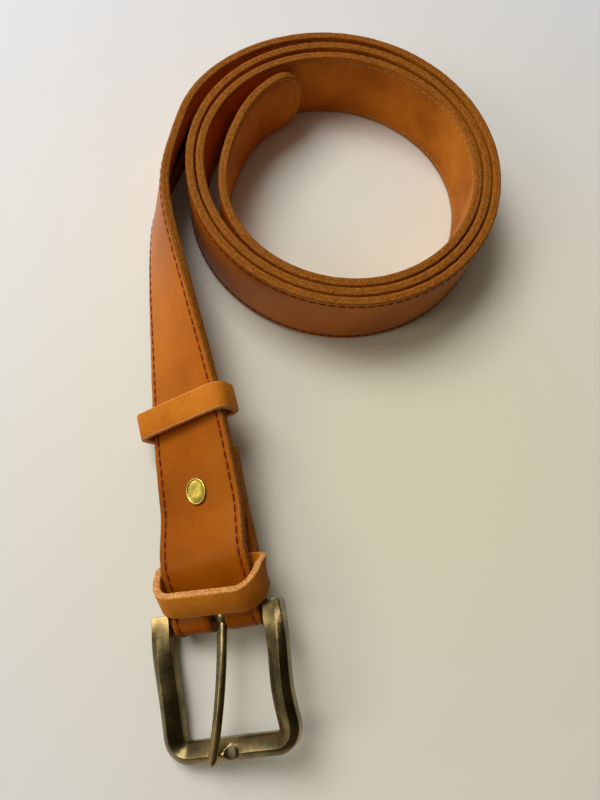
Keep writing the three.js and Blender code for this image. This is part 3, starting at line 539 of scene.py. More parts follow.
def leather_grain(name, pale, mid, dark):
    """Waxed full-grain leather: mottled, finely pored, softly creased, with painted shade along the stitch
    grooves, darker towards the buckle.
    """
    surface = new_material(name, Specular_IOR_Level=0.16, Specular_Tint=(1, 0.72, 0.36, 1))
    tree = surface[1]
    clouds = texture(tree, "noise", 28, 5)
    colour = ramp(tree, clouds, [(0.3, dark), (0.52, mid), (0.75, pale)])
    speckle = texture(tree, "noise", 900, 3)
    colour = speckled(tree, 0.18, colour, speckle, (0.35, dark), (0.65, pale))
    # Painted shade along each stitch groove, for the shadow in the groove and in its stitch holes.
    from_middle = maths(tree, "ABSOLUTE", strap_coordinate(tree, "Y"))
    from_seam = maths(tree, "ABSOLUTE", maths(tree, "SUBTRACT", from_middle, HALF_WIDTH - STITCH_INSET))
    seam_shade = maths(tree, "SUBTRACT", 1.0, maths(tree, "DIVIDE", from_seam, 1.1), clamp=True)
    colour = blend_colours(tree, maths(tree, "MULTIPLY", seam_shade, 0.35), colour, dark, "MULTIPLY")
    # The grain grows darker and more saturated over the strap's last part before the buckle.
    colour = blend_colours(tree, near_buckle_share(tree), colour, (0.66, 0.58, 0.16), "MULTIPLY")
    roughness = maths(tree, "ADD", maths(tree, "MULTIPLY", clouds, 0.22), 0.26)
    tree.links.new(roughness, surface[2].inputs["Roughness"])
    pores = (texture(tree, "cells", 1500), 0.00006, 0.35)
    creases = (texture(tree, "noise", 160, 6, stretch=(1, 1, 0.6)), 0.0003, 0.25)
    return finish_material(surface, colour, pores, creases, (speckle, 0.00005, 0.3))


def leather_flesh(name, pale, mid, dark):
    """The lining side: matt, slightly fibrous, with long faint streaks."""
    surface = new_material(name, Roughness=0.65, Specular_IOR_Level=0.1)
    tree = surface[1]
    clouds = texture(tree, "noise", 40, 6)
    fibres = texture(tree, "noise", 1400, 4, stretch=(0.6, 0.6, 1.6))
    colour = ramp(tree, clouds, [(0.3, dark), (0.5, mid), (0.72, pale)])
    colour = speckled(tree, 0.3, colour, fibres, (0.35, dark), (0.62, pale))
    return finish_material(surface, colour, (fibres, 0.00018, 0.5), (clouds, 0.0004, 0.2))


def leather_edge(name, pale, mid, dark):
    """A cut edge: packed fibres, mottled from pale to dark, with pits."""
    surface = new_material(name, Roughness=0.7, Specular_IOR_Level=0.1)
    tree = surface[1]
    fibres = texture(tree, "noise", 1700, 6)
    pits = texture(tree, "noise", 420, 4)
    colour = ramp(tree, fibres, [(0.3, dark), (0.48, mid), (0.68, pale)])
    colour = speckled(tree, 0.25, colour, pits, (0.4, dark), (0.66, pale))
    return finish_material(surface, colour, (fibres, 0.00025, 0.7), (pits, 0.0004, 0.5))


def banded(name, pale, dark, scale, distortion, start, depth, strength, **surface):
    """Fine slanting bands, from dark at their start to pale, as of twisted or woven thread."""
    made = new_material(name, **surface)
    tree = made[1]
    source = add(tree, "ShaderNodeTexCoord").outputs["Object"]
    inputs = {"Vector": source, "Scale": scale, "Distortion": distortion}
    bands = add(tree, "ShaderNodeTexWave", inputs, bands_direction="DIAGONAL").outputs["Fac"]
    colour = ramp(tree, bands, [(start, dark), (0.8, pale)])
    return finish_material(made, colour, (bands, depth, strength))


def thread_material(name, pale, dark):
    """Waxed twisted thread."""
    return banded(name, pale, dark, 1100, 1.5, 0.1, 0.00015, 0.6, Roughness=0.7, Specular_IOR_Level=0.1)


def worn_metal(name, bright, body, dark, roughness=0.34, scratches=0.35):
    """Antiqued metal: dark in hollows, bright along ridges, with scratches and tarnish."""
    surface = new_material(name, Metallic=1.0, Roughness=roughness)
    tree = surface[1]
    point = add(tree, "ShaderNodeNewGeometry").outputs["Pointiness"]
    tarnish = texture(tree, "noise", 90, 6)
    fine = texture(tree, "noise", 700, 5)
    wear = maths(tree, "ADD", point, maths(tree, "MULTIPLY", maths(tree, "SUBTRACT", tarnish, 0.5), 0.16))
    colour = ramp(tree, wear, [(0.44, dark), (0.5, body), (0.56, bright)])
    colour = speckled(tree, 0.5, colour, tarnish, (0.35, dark), (0.65, bright))
    rough = maths(tree, "ADD", maths(tree, "MULTIPLY", fine, scratches), roughness - scratches / 2)
    tree.links.new(rough, surface[2].inputs["Roughness"])
    brushed = texture(tree, "noise", 900, 4, stretch=(0.15, 1, 1))
    return finish_material(surface, colour, (brushed, 0.00004, 0.4), (tarnish, 0.0002, 0.12))


def woven_tape(name, pale, dark):
    """Zip tape: a fine twill."""
    return banded(name, pale, dark, 700, 0.6, 0.2, 0.0002, 0.7, Roughness=0.9)


def nylon(name, pale, dark):
    """Smooth plastic, faintly clouded."""
    surface = new_material(name, Roughness=0.45)
    clouds = texture(surface[1], "noise", 600, 3)
    colour = ramp(surface[1], clouds, [(0.3, dark), (0.7, pale)])
    return finish_material(surface, colour, (clouds, 0.00005, 0.4))


# Leathers, threads and zip take their colours from pale to dark; metals add roughness and scratches.
GRAIN = leather_grain("grain_leather", (0.60, 0.20, 0.016), (0.50, 0.15, 0.008), (0.36, 0.095, 0.004))
KEEPER = leather_grain("keeper_leather", (0.64, 0.25, 0.006), (0.53, 0.19, 0.004), (0.37, 0.11, 0.002))
FLESH = leather_flesh("lining_leather", (0.66, 0.27, 0.020), (0.52, 0.19, 0.010), (0.34, 0.11, 0.005))
EDGE = leather_edge("cut_edge", (0.46, 0.18, 0.018), (0.30, 0.10, 0.007), (0.16, 0.045, 0.003))
PALE_EDGE = leather_edge("keeper_edge", (0.82, 0.48, 0.20), (0.60, 0.28, 0.08), (0.34, 0.13, 0.025))
RED_THREAD = thread_material("red_thread", (0.20, 0.018, 0.004), (0.08, 0.007, 0.002))
GOLD_THREAD = thread_material("gold_thread", (0.60, 0.33, 0.12), (0.30, 0.13, 0.03))
ANTIQUE = worn_metal(
    "antique_brass", (0.42, 0.33, 0.17), (0.18, 0.14, 0.065), (0.045, 0.035, 0.016), 0.28, 0.2)
# Darker metal for the prong notch: painted shade in the saddle's hollow.
NOTCH_SHADE = worn_metal(
    "notch_painted_shade", (0.20, 0.16, 0.09), (0.06, 0.05, 0.03), (0.02, 0.017, 0.012), 0.42, 0.2)
STEEL = worn_metal("bar_steel", (0.36, 0.33, 0.28), (0.20, 0.18, 0.15), (0.08, 0.07, 0.06))
RIVET = worn_metal(
    "rivet_brass", (0.66, 0.54, 0.18), (0.44, 0.35, 0.09), (0.18, 0.13, 0.03), 0.3, 0.2)
ZIP_METAL = worn_metal("zip_metal", (0.60, 0.46, 0.20), (0.34, 0.24, 0.09), (0.12, 0.08, 0.03))
TAPE = woven_tape("zip_tape", (0.07, 0.05, 0.035), (0.025, 0.017, 0.012))
NYLON = nylon("zip_teeth", (0.10, 0.07, 0.045), (0.05, 0.033, 0.02))


# ------------ strap

def strap_distances():
    """Distances for the strap's rings: close at the rounded tip and round the fold."""
    tip = [TIP_CORNER * (1 - math.cos(math.pi / 2 * i / 8)) for i in range(8)]
    fold_start = BAR_DISTANCE - FOLD_MARGIN
    fold_end = BAR_DISTANCE + FOLD_MARGIN + math.pi * FOLD_RADIUS
    before_fold = np.arange(TIP_CORNER, fold_start, RING_SPACING)
    fold = np.arange(fold_start, fold_end, FOLD_RING_SPACING)
    after = np.arange(fold[-1] + FOLD_RING_SPACING, PATH.length, RING_SPACING)
    return np.concatenate([tip, before_fold, fold, after, [PATH.length]])


def half_width(distance):
    """The strap's half width, narrowing round its tip's corners."""
    inset = TIP_CORNER - np.minimum(distance, TIP_CORNER)
    return HALF_WIDTH - TIP_CORNER + np.sqrt(TIP_CORNER**2 - inset**2)


def surface_points():
    """Points across a layer, as (across, depth), with a stitch groove near each edge."""
    centre = HALF_WIDTH - STITCH_INSET
    right = [(centre + step, depth) for step, depth in STITCH_GROOVE]
    return mirrored(right) + [(across, 0) for across in (-9.5, -4.5, 0, 4.5, 9.5)] + right


def face_outline():
    """The grain layer's section and the material of each strip: 0 grain, 1 cut edge."""
    top = HALF_THICKNESS
    surface = [(across, top + 0.03 - depth) for across, depth in reversed(surface_points())]
    right_edge = [
        (16, 0.04), (16.03, 0.5), (16, 0.95), (15.9, 1.3), (15.68, 1.55), (15.35, top - 0.02)]
    slots = [1] * 5 + [0] * (len(surface) + 1) + [1] * 6
    return right_edge + surface + mirrored(right_edge), slots


def lining_outline():
    """The lining's section, the face's turned over, with a shallower bevel."""
    bottom = -HALF_THICKNESS
    surface = [(across, bottom - 0.02 + depth) for across, depth in surface_points()]
    right_edge = [
        (15.5, bottom + 0.02), (15.8, bottom + 0.12), (15.97, bottom + 0.4), (16.02, -0.5), (16, -0.04)]
    return surface + right_edge + mirrored(right_edge), [0] * len(surface) + [1] * 9 + [0]


def waver(point, scale, amount):
    """A small smooth unevenness, the same each run."""
    return amount * noise.noise(Vector([float(c) * scale for c in point]))


def strap_layer(name, outline, slots, materials):
    builder = Builder()
    distances = strap_distances()
    rings = []
    for distance in distances:
        point, side, out = PATH.frame(distance)
        narrowing = half_width(distance) / HALF_WIDTH
        ring = []
        for across, height in outline:
            place = point + side * across * narrowing + out * height
            rough = EDGE_ROUGHNESS if abs(across) > ROUGH_FROM else FACE_ROUGHNESS
            ring.append(place + out * waver(place, 0.35, rough) + side * waver(place, 0.5, 0.5 * rough))
        rings.append(ring)
    builder.sweep(rings, [across for across, _ in outline], list(distances), slots, cap_slot=1)
    return builder.build(name, materials, 50)


def size_hole_cutter(distance):
    ring = ring_points(SIZE_HOLE_RADIUS, SIZE_HOLE_RADIUS, 28)
    heights = (-HOLE_CUTTER_REACH, HOLE_CUTTER_REACH)
    return solid("hole_cutter", levels(on_strap(distance), ring, heights), EDGE)


def prong_slot_cutter():
    """A long slot with a round end, through both layers and the fold."""
    half, reach = SLOT_WIDTH / 2, SLOT_CUTTER_REACH
    ring = half_circle(half, SLOT_REACH - half) + [(-half, -reach), (half, -reach)]

    def place(x, y, z):
        return bar_point(x + STRAP_SLID + SLOT_OFF_MIDDLE, y, z)
    return solid("slot_cutter", levels(place, ring, (-reach, reach)), EDGE)


def pocket_cutter():
    outline = rectangle(-WINDOW_WIDTH / 2, WINDOW_WIDTH / 2, -4, 0.02)
    distances = np.linspace(WINDOW_FAR, WINDOW_NEAR, 160)
    return solid("pocket_cutter", along_strap(outline, distances), EDGE)


def strap():
    face_shape, face_slots = face_outline()
    face = strap_layer("strap_grain_side", face_shape, face_slots, [GRAIN, EDGE])
    lining_shape, lining_slots = lining_outline()
    lining = strap_layer("strap_lining_side", lining_shape, lining_slots, [FLESH, EDGE])
    for layer in (face, lining):
        for hole in SIZE_HOLES:
            cut_with(layer, size_hole_cutter(hole))
        cut_with(layer, prong_slot_cutter())
    cut_with(lining, pocket_cutter())
    finish_piece(face, "strap", "grain_leather", "strap_face")
    finish_piece(lining, "strap", "lining_leather", "strap_lining")


# ------------ stitches

def stitch(builder, start, middle, end, out):
    """One stitch: a short bowed tube that dives into its hole at both ends."""
    ring = ring_points(THREAD_RADIUS * 1.15, THREAD_RADIUS * 0.8, 6)
    side = np.cross(out, unit(end - start))
    knots = [(start, -0.5, 0.7), (start * 0.8 + end * 0.2, 0.0, 1), (middle, 0.1, 1.05),
             (start * 0.2 + end * 0.8, 0.0, 1), (end, -0.5, 0.7)]
    rings = [[centre + side * x * size + out * (y * size + depth) for x, y in ring]
             for centre, depth, size in knots]
    builder.sweep(rings)


def seam(builder, places, height, sign):
    """Stitches between (distance, across) places, a pitch apart, on one side of the strap."""
    points = np.array([PATH.spot(d, a, sign * height) for d, a in places])
    steps = run_lengths(points)
    count = int(steps[-1] / STITCH_PITCH)
    distances = [place[0] for place in places]
    for i in range(count):
        at = [(i + share) * STITCH_PITCH for share in (0.01, 0.5, 0.99)]
        start, middle, end = [np.array([np.interp(s, steps, points[:, k]) for k in range(3)]) for s in at]
        out = PATH.frame(np.interp(at[1], steps, distances))[2] * sign
        stitch(builder, start, middle, end, out)


def edge_places():
    """Along the lower edge to the tip, round it, and back along the upper edge."""
    across = HALF_WIDTH - STITCH_INSET
    radius = TIP_CORNER - STITCH_INSET
    leg = [(d, across) for d in np.arange(TIP_CORNER, PATH.length - 2, 1.0)]
    corner = [(TIP_CORNER - radius * math.sin(a), HALF_WIDTH - TIP_CORNER + radius * math.cos(a))
              for a in np.linspace(math.pi / 2, 0, 12)[:-1]]
    upper = corner + leg
    lower = [(d, -a) for d, a in reversed(upper)]
    return lower + upper


def pocket_places():
    """Round the pocket's window and back to the start."""
    across = WINDOW_WIDTH / 2 + POCKET_SEAM_CLEARANCE
    near = WINDOW_NEAR + POCKET_SEAM_CLEARANCE
    far = near - POCKET_LENGTH - 2 * POCKET_SEAM_CLEARANCE
    up = [(d, across) for d in np.arange(far, near, 1.0)]
    down = [(d, -a) for d, a in reversed(up)]
    turn = [(near, across * (1 - share)) for share in np.linspace(0, 2, 9)[1:-1]]
    back = [(far, -across * (1 - share)) for share in np.linspace(0, 2, 9)[1:]]
    return up + turn + down + back


def stitching():
    parts = [
        ("needle_stitches", edge_places, 1, RED_THREAD, "needle_thread"),
        ("bobbin_stitches", edge_places, -1, GOLD_THREAD, "bobbin_thread"),
        ("pocket_stitches", pocket_places, -1, GOLD_THREAD, "pocket_thread"),
    ]
    for name, places, sign, material, node in parts:
        builder = Builder()
        seam(builder, places(), HALF_THICKNESS - 0.02, sign)
        slot = "needle_thread" if sign > 0 else "bobbin_thread"
        finish_piece(builder.build(name, [material]), "strap", slot, node)


# ------------ keepers

def band_outline(thickness):
    """A leather band's section with softened corners: grain outside, cut edges, flesh inside."""
    w, t, r = KEEPER_BAND / 2, thickness / 2, 0.45
    right = [(w - r, -t), (w - 0.12, -t + 0.12), (w, -t + r), (w, 0), (w, t - r),
             (w - 0.15, t - 0.15), (w - r, t), (w / 2, t + 0.05)]
    left = mirrored(right)
    outline = left[-1:] + [(0, -t)] + right + [(0, t + 0.08)] + left[:-1]
    return outline, [2] * 2 + [1] * 6 + [0] * 4 + [1] * 6


def rounded_loop(half, bottom, top, bottom_radius, top_radius):
    """A rounded rectangle, anticlockwise, with points at most about 2 mm apart on its sides."""
    corners = [(half - bottom_radius, bottom + bottom_radius, bottom_radius, -90),
               (half - top_radius, top - top_radius, top_radius, 0),
               (top_radius - half, top - top_radius, top_radius, 90),
               (bottom_radius - half, bottom + bottom_radius, bottom_radius, 180)]
    points = []
    for x, y, radius, start in corners:
        for i in range(11):
            angle = math.radians(start + 90 * i / 10)
            points.append((x + radius * math.cos(angle), y + radius * math.sin(angle)))
    filled = []
    for (x0, y0), (x1, y1) in zip(points, points[1:] + points[:1]):
        parts = max(1, int(math.hypot(x1 - x0, y1 - y0) / 2))
        filled += [(x0 + (x1 - x0) * i / parts, y0 + (y1 - y0) * i / parts) for i in range(parts)]
    return filled


def level(x, z):
    """For a band that neither leans nor shifts."""
    return 0


def leather_band(name, loop, thickness, place, lean=level, shift=level):
    """A closed leather band. Lean, in degrees, and shift along the strap depend on (x, height)."""
    centre = np.array([(x, shift(x, z), z) for x, z in loop])
    ahead = unit(np.roll(centre, -1, 0) - np.roll(centre, 1, 0))
    outline, slots = band_outline(thickness)
    rings = []
    for point, heading in zip(centre, ahead):
        angle = math.radians(lean(point[0], point[2]))
        across = np.array([0, math.cos(angle), math.sin(angle)])
        out = unit(np.cross(heading, across))
        side = np.cross(out, heading)
        ring = []
        for a, o in outline:
            spot = place(*(point + side * a + out * o))
            ring.append(spot + waver(spot, 0.3, 0.12))
        rings.append(ring)
    builder = Builder()
    builder.sweep(rings, uv_along=list(np.linspace(0, 1, len(rings))), slots=slots, loop=True)
    return builder.build(name, [KEEPER, PALE_EDGE, FLESH], 50)


def free_keeper():
    """The loose loop, hanging a little turned and slanted on the strap."""
    roll, slant = math.radians(FREE_KEEPER_ROLL), math.radians(FREE_KEEPER_SLANT)
    straight = on_strap(BAR_DISTANCE - FREE_KEEPER_AT)

    def place(x, y, z):
        u = x * math.cos(slant) - y * math.sin(slant)
        v = x * math.sin(slant) + y * math.cos(slant)
        across = u * math.cos(roll) + z * math.sin(roll) + FREE_KEEPER_SLID
        return straight(across, v, z * math.cos(roll) - u * math.sin(roll))

    depth, corner = FREE_KEEPER_HALF_DEPTH, FREE_KEEPER_CORNER
    loop = rounded_loop(FREE_KEEPER_HALF_WIDTH, -depth, depth, corner, corner)
    band = leather_band("free_keeper_loop", loop, FREE_KEEPER_THICKNESS, place)
    finish_piece(band, "keeper", "keeper_leather", "free_keeper")


def fixed_keeper():
    """The sewn-in loop, whose front has tipped forward so that its mouth opens outward."""
    back, front = FIXED_KEEPER_BACK, FIXED_KEEPER_FRONT

    def lean(x, z):
        return FIXED_KEEPER_LEAN * (z - back) / (front - back)

    def shift(x, z):
        forward = (FIXED_KEEPER_BACK_AT - FIXED_KEEPER_FRONT_AT) * (z - back) / (front - back)
        return FIXED_KEEPER_BACK_AT - forward - FIXED_KEEPER_SKEW * x

    def place(x, y, z):
        return bar_point(x + FIXED_KEEPER_SLID, y, z)

    corners = FIXED_KEEPER_BACK_CORNER, FIXED_KEEPER_FRONT_CORNER
    loop = rounded_loop(FIXED_KEEPER_HALF_WIDTH, back, front, *corners)
    band = leather_band("fixed_keeper_loop", loop, FIXED_KEEPER_THICKNESS, place, lean, shift)
    finish_piece(band, "strap", "keeper_leather", "fixed_keeper")


# ------------ buckle

def frame_line():
    """The frame's middle line, from the left heel round the end bar to the right heel."""
    middle = (FRAME_INNER_WIDTH + ARM_WIDTH) / 2
    half = [(x, END_BAR_AT, END_BAR_WIDTH) for x in np.linspace(0, middle - FRAME_CORNER, 8)[:-1]]
    for share in np.linspace(0, 1, 9):
        angle = math.pi / 2 * (share - 1)
        x = middle + FRAME_CORNER * (math.cos(angle) - 1)
        y = END_BAR_AT + FRAME_CORNER * (1 + math.sin(angle))
        half.append((x, y, END_BAR_WIDTH + (ARM_WIDTH - END_BAR_WIDTH) * share))
    arm = np.linspace(END_BAR_AT + FRAME_CORNER, HEEL - HEEL_ROUNDING, 26)[1:]
    heel = HEEL - HEEL_ROUNDING * (1 - np.sin(np.linspace(0, math.pi / 2, 6)[1:]))
    for y in (*arm, *heel):
        waist = ARM_WAIST * math.sin(2 * math.pi * min(y, 0) / -WAIST_LENGTH)
        beyond = max(y - (HEEL - HEEL_ROUNDING), 0)
        inset = HEEL_ROUNDING - math.sqrt(HEEL_ROUNDING**2 - beyond**2 + 0.01)
        half.append((middle + waist, y, ARM_WIDTH - 2 * max(inset, 0)))
    return [(-x, y, width) for x, y, width in reversed(half[1:])] + half


def frame_rise(y):
    """The frame is arched in side view: its middle stands proud of its heel and its end bar."""
    share = min(max(y / END_BAR_AT, 0), 1)
    return FRAME_ARCH * math.sin(math.pi * share) - HEEL_DROP - (END_BAR_DROP - HEEL_DROP) * share


def frame_section(width, ridge):
    """Flat below, with two slopes above that meet in a ridge near the outer, negative side.

    The ridge goes from 1, at its full height, to 0, where the top is flat.
    """
    half = width / 2
    inner, outer = FRAME_HIGH * (1 - INNER_SLOPE * ridge), FRAME_HIGH * (1 - OUTER_SLOPE * ridge)
    crest = -0.3 * half
    low = -FRAME_HIGH
    return [(-half, 0.82 * low), (-0.86 * half, 0.97 * low), (0, low), (0.86 * half, 0.97 * low),
            (half, 0.82 * low), (half, inner - 0.35), (0.94 * half, inner),
            (0.3 * half, (inner + FRAME_HIGH) / 2), (crest + 0.35, FRAME_HIGH - 0.12 * ridge),
            (crest, FRAME_HIGH), (crest - 0.35, FRAME_HIGH - 0.18 * ridge),
            (-0.92 * half, outer + 0.1 * ridge), (-half, outer - 0.3)]


def buckle_frame():
    line = frame_line()
    rings = []
    for (x, y, width), heading in zip(line, headings([place[:2] for place in line])):
        side = np.array([-heading[1], heading[0], 0])
        section = frame_section(width, smoothstep((HEEL - y) / RIDGE_FADE))
        middle = np.array([x, y, frame_rise(y)])
        rings.append([bar_point(*(middle + side * a + np.array([0, 0, 1]) * o)) for a, o in section])
    piece = solid("buckle_frame_cast", rings, ANTIQUE)
    cut_with(piece, notch_cutter())
    soften(piece, 0.25, segments=2, angle=35)
    finish_piece(piece, "buckle", "antique_brass", "buckle_frame")


def notch_cutter():
    """The saddle in the end bar where the prong is meant to rest."""
    top = FRAME_HIGH + frame_rise(END_BAR_AT)
    ring = [(NOTCH_RADIUS * math.cos(a), top + NOTCH_DEPTH * math.sin(a))
            for a in np.linspace(math.pi, 2 * math.pi, 11)]
    ring += [(NOTCH_RADIUS, top + 2), (-NOTCH_RADIUS, top + 2)]
    rings = [[bar_point(x, y, z) for x, z in ring] for y in (END_BAR_AT + 6, END_BAR_AT - 6)]
    # The notch's faces take the darker metal, as painted shade in its hollow.
    return solid("notch_cutter", rings, NOTCH_SHADE)


def buckle_bar():
    """The pin that the strap folds round, with chamfered ends."""
    ring = ring_points(BAR_RADIUS, BAR_RADIUS, 32)
    half = BAR_HALF_LENGTH
    ends = [(-half, 0.85), (0.3 - half, 1), (half - 0.3, 1), (half, 0.85)]
    rings = [[bar_point(x, y * size, z * size) for y, z in ring] for x, size in ends]
    finish_piece(solid("buckle_bar_pin", rings, STEEL), "buckle", "bar_steel", "buckle_bar")


def prong_middle(share):
    """The blade's middle line, arched outward and bent a little sideways."""
    arch = math.sin(math.pi * share)
    height = PRONG_HEIGHT * (1 + share) + PRONG_ARCH * arch
    return np.array([PRONG_BEND * arch, -PRONG_START - PRONG_LENGTH * share, height])


def prong_place(x, y, z):
    """Turns the blade a little sideways on the bar."""
    skew = math.radians(PRONG_SKEW)
    across = x * math.cos(skew) - y * math.sin(skew)
    return bar_point(across + PRONG_OFF_MIDDLE, x * math.sin(skew) + y * math.cos(skew), z)


def prong_blade(steps=40):
    """Rings of a blade that tapers a little and has a rounded tip."""
    blade = [(1, -0.1), (0.95, 0.25), (0.55, 0.85), (0.1, 1.0), (-0.05, 1.0), (-0.6, 0.8),
             (-0.95, 0.3), (-1, -0.1), (-0.8, -0.7), (-0.3, -1), (0.3, -1), (0.8, -0.7)]
    side = np.array([1, 0, 0])
    rings = []
    for share in [i / steps for i in range(steps + 1)]:
        heading = unit(prong_middle(share + 0.01) - prong_middle(share - 0.01))
        out = np.cross(heading, side)
        size = 1 - PRONG_TAPER * share
        if share > PRONG_ROUND_FROM:
            rounding = (share - PRONG_ROUND_FROM) / (1 - PRONG_ROUND_FROM)
            size *= math.sqrt(max(0.02, 1 - rounding**2))
        section = [(PRONG_HALF_WIDTH * size * x, PRONG_HALF_THICKNESS * size * z) for x, z in blade]
        rings.append([prong_place(*(prong_middle(share) + side * x + out * z)) for x, z in section])
    return rings


def prong_eye(steps=36):
    """Rings of the eye that turns on the bar, closed round it."""
    section = [(-1.6, 2.45), (-1.4, 2.3), (1.4, 2.3), (1.6, 2.45),
               (1.6, 3.4), (1.2, 3.8), (-1.2, 3.8), (-1.6, 3.4)]
    angles = [2 * math.pi * i / steps for i in range(steps)]
    return [[bar_point(PRONG_OFF_MIDDLE + x, radius * math.cos(a), radius * math.sin(a))
             for x, radius in section] for a in angles]


def prong():
    builder = Builder()
    builder.sweep(prong_blade())
    builder.sweep(prong_eye(), loop=True)
    finish_piece(builder.build("prong_cast", [ANTIQUE], 45), "prong", "antique_brass", "prong")


# ------------ rivet

def turned(builder, place, outline):
    """A round solid from an open outline of (radius, height)."""
    builder.sweep([[place(x, y, height) for x, y in ring_points(radius, radius, 48)]
                   for radius, height in outline])


def rivet_post():
    """A low oval head with a thin rim, on a round post."""
    place = on_strap(BAR_DISTANCE - RIVET_AT)
    top, foot = RIVET_TOP, RIVET_BOTTOM + 0.3

    def oval(x, y, z):
        return place(RIVET_OVAL * x, y, z)

    builder = Builder()
    turned(builder, place, [(1.5, foot), (2.2, foot), (2.2, top - 0.2)])
    turned(builder, oval, [
        (2.2, top - 0.2), (4.7, top - 0.25), (4.85, top), (4.85, top + 0.35), (4.7, top + 0.62),
        (4.45, top + 0.7), (4.2, top + 0.6), (4.05, top + 0.42), (3.8, top + 0.36), (2, top + 0.44),
        (0.02, top + 0.48)])
    finish_piece(builder.build("rivet_head", [RIVET], 60), "strap", "rivet_brass", "rivet_post")


def rivet_screw():
    """A slotted screw that enters the post from behind."""
    place = on_strap(BAR_DISTANCE - RIVET_AT)
    bottom = RIVET_BOTTOM
    builder = Builder()
    turned(builder, place, [
        (0.02, bottom - 1.1), (3.4, bottom - 1.1), (3.9, bottom - 0.95), (4.2, bottom - 0.6),
        (4.2, bottom - 0.1), (4.1, bottom), (1.2, bottom), (1.2, bottom + 4.8), (0.02, bottom + 5)])
    piece = builder.build("rivet_screw_head", [RIVET], 60)
    slot = levels(place, rectangle(-5, 5, -0.5, 0.5), (bottom - 2, bottom - 0.55))
    cut_with(piece, solid("screw_slot", slot, RIVET))
    finish_piece(piece, "strap", "rivet_brass", "rivet_screw")


# ------------ zip

def zip_tapes():
    """Two flat tapes that leave a gap for the teeth."""
    distances = np.linspace(WINDOW_FAR - TAPE_SPARE, WINDOW_NEAR + TAPE_SPARE, 220)
    for hand, word in ((1, "upper"), (-1, "lower")):
        left, right = sorted((hand * 0.9, hand * (WINDOW_WIDTH / 2 + 0.4)))
        rings = along_strap(rectangle(left, right, -0.12, -0.02), distances)
        piece = solid("zip_tape_" + word + "_weave", rings, TAPE)
        finish_piece(piece, "strap", "zip_tape", "zip_tape_" + word)


def tooth(distance, hand):
    """Rings of one coil tooth, which hooks past the middle line."""
    middle = [(1.9, -0.75), (1.1, -0.5), (0.1, -0.5), (-0.35, -0.85),
              (0.1, -1.25), (1.1, -1.3), (1.9, -1.05)]
    sizes = [0.3] + [0.34] * 5 + [0.3]
    place = on_strap(distance)
    rings = [[place(hand * a, u, o + v) for u, v in ring_points(size, size, 6)]
             for (a, o), size in zip(middle, sizes)]
    return rings[::-1] if hand > 0 else rings


def zip_rows():
    """Two rows of coil teeth, half a pitch apart."""
    near, far = WINDOW_NEAR - TEETH_INSET, WINDOW_FAR + TEETH_INSET
    for hand, word, offset in ((1, "upper", 0), (-1, "lower", TEETH_PITCH / 2)):
        builder = Builder()
        for distance in np.arange(far + offset, near, TEETH_PITCH):
            builder.sweep(tooth(distance, hand))
        piece = builder.build("zip_coil_" + word, [NYLON])
        finish_piece(piece, "strap", "zip_teeth", "zip_teeth_" + word)


def soft_block(place, outline, low, high, name, bevel=0.2):
    """A metal plate from an outline, with rounded edges."""
    piece = solid(name, levels(place, outline, (low, high)), ZIP_METAL, 30)
    soften(piece, bevel)
    piece.data.shade_smooth()
    return piece


def zip_stops():
    ends = ((WINDOW_NEAR - STOP_INSET, "zip_top_stop"), (WINDOW_FAR + STOP_INSET, "zip_bottom_stop"))
    for distance, node in ends:
        outline = rectangle(-1.9, 1.9, -1, 1)
        piece = soft_block(on_strap(distance), outline, -1.45, -0.3, node + "_clamp")
        finish_piece(piece, "strap", "zip_metal", node)


def join_pieces(*pieces):
    """Joins meshes into the first piece."""
    bpy.ops.object.select_all(action="DESELECT")
    for piece in pieces:
        piece.select_set(True)
    bpy.context.view_layer.objects.active = pieces[0]
    bpy.ops.object.join()


def slider_arch(place):
    """The arch over the slider, which the pull hangs in."""
    line = [(-2.45, -2.5), (-2.45, -3.6), (-2.1, -4.3), (-1.4, -4.72), (0, -4.85),
            (1.4, -4.72), (2.1, -4.3), (2.45, -3.6), (2.45, -2.5)]
    section = rectangle(-0.6, 0.6, -0.42, 0.42)
    rings = [[place(x, y + out * ahead[1], z - out * ahead[0]) for x, out in section]
             for (y, z), ahead in zip(line, headings(line))]
    return solid("arch", rings, ZIP_METAL, 35)


def zip_slider():
    """A waisted plate with two flanges below and an arch above."""
    place = on_strap(BAR_DISTANCE - SLIDER_AT)
    half, end = SLIDER_HALF_WIDTH, SLIDER_HALF_LENGTH
    plate = [(-0.72 * half, -end), (0.72 * half, -end), (half * 0.95, -1), (half, end - 0.6),
             (half * 0.8, end), (-half * 0.8, end), (-half, end - 0.6), (-half * 0.95, -1)]
    body = soft_block(place, plate, -2.6, -1.75, "zip_slider_body", 0.25)
    flanges = []
    for at in (FLANGE_AT, -FLANGE_AT):
        outline = rectangle(at - FLANGE_HALF_WIDTH, at + FLANGE_HALF_WIDTH, -1.3, 3.7)
        flanges.append(soft_block(place, outline, -1.85, -0.5, "flange", 0.15))
    join_pieces(body, *flanges, slider_arch(place))
    finish_piece(body, "slider", "zip_metal", "zip_slider")


def zip_pull():
    """A flat tab with an eye, lying along the zip."""
    place = on_strap(BAR_DISTANCE - SLIDER_AT)
    half, thin = PULL_HALF_WIDTH, PULL_HALF_THICKNESS
    outline = [(-half, -thin), (half, -thin), (half, 4.4), (half * 0.72, 6.0), (half * 0.8, 12.0)]
    outline += half_circle(half * 0.8, PULL_LENGTH - half)
    outline += [(-half * 0.8, 12.0), (-half * 0.72, 6.0), (-half, 4.4)]
    heights = (PULL_AXIS - thin, PULL_AXIS + thin)
    piece = solid("zip_pull_tab", levels(place, outline, heights), ZIP_METAL, 30)
    eye = levels(place, rectangle(-1.4, 1.4, 0.5, 3.9), (PULL_AXIS - 1, PULL_AXIS + 1))
    cut_with(piece, solid("eye", eye, ZIP_METAL))
    soften(piece, 0.2)
    piece.data.shade_smooth()
    finish_piece(piece, "pull", "zip_metal", "zip_pull")


# ------------ stage, light, camera

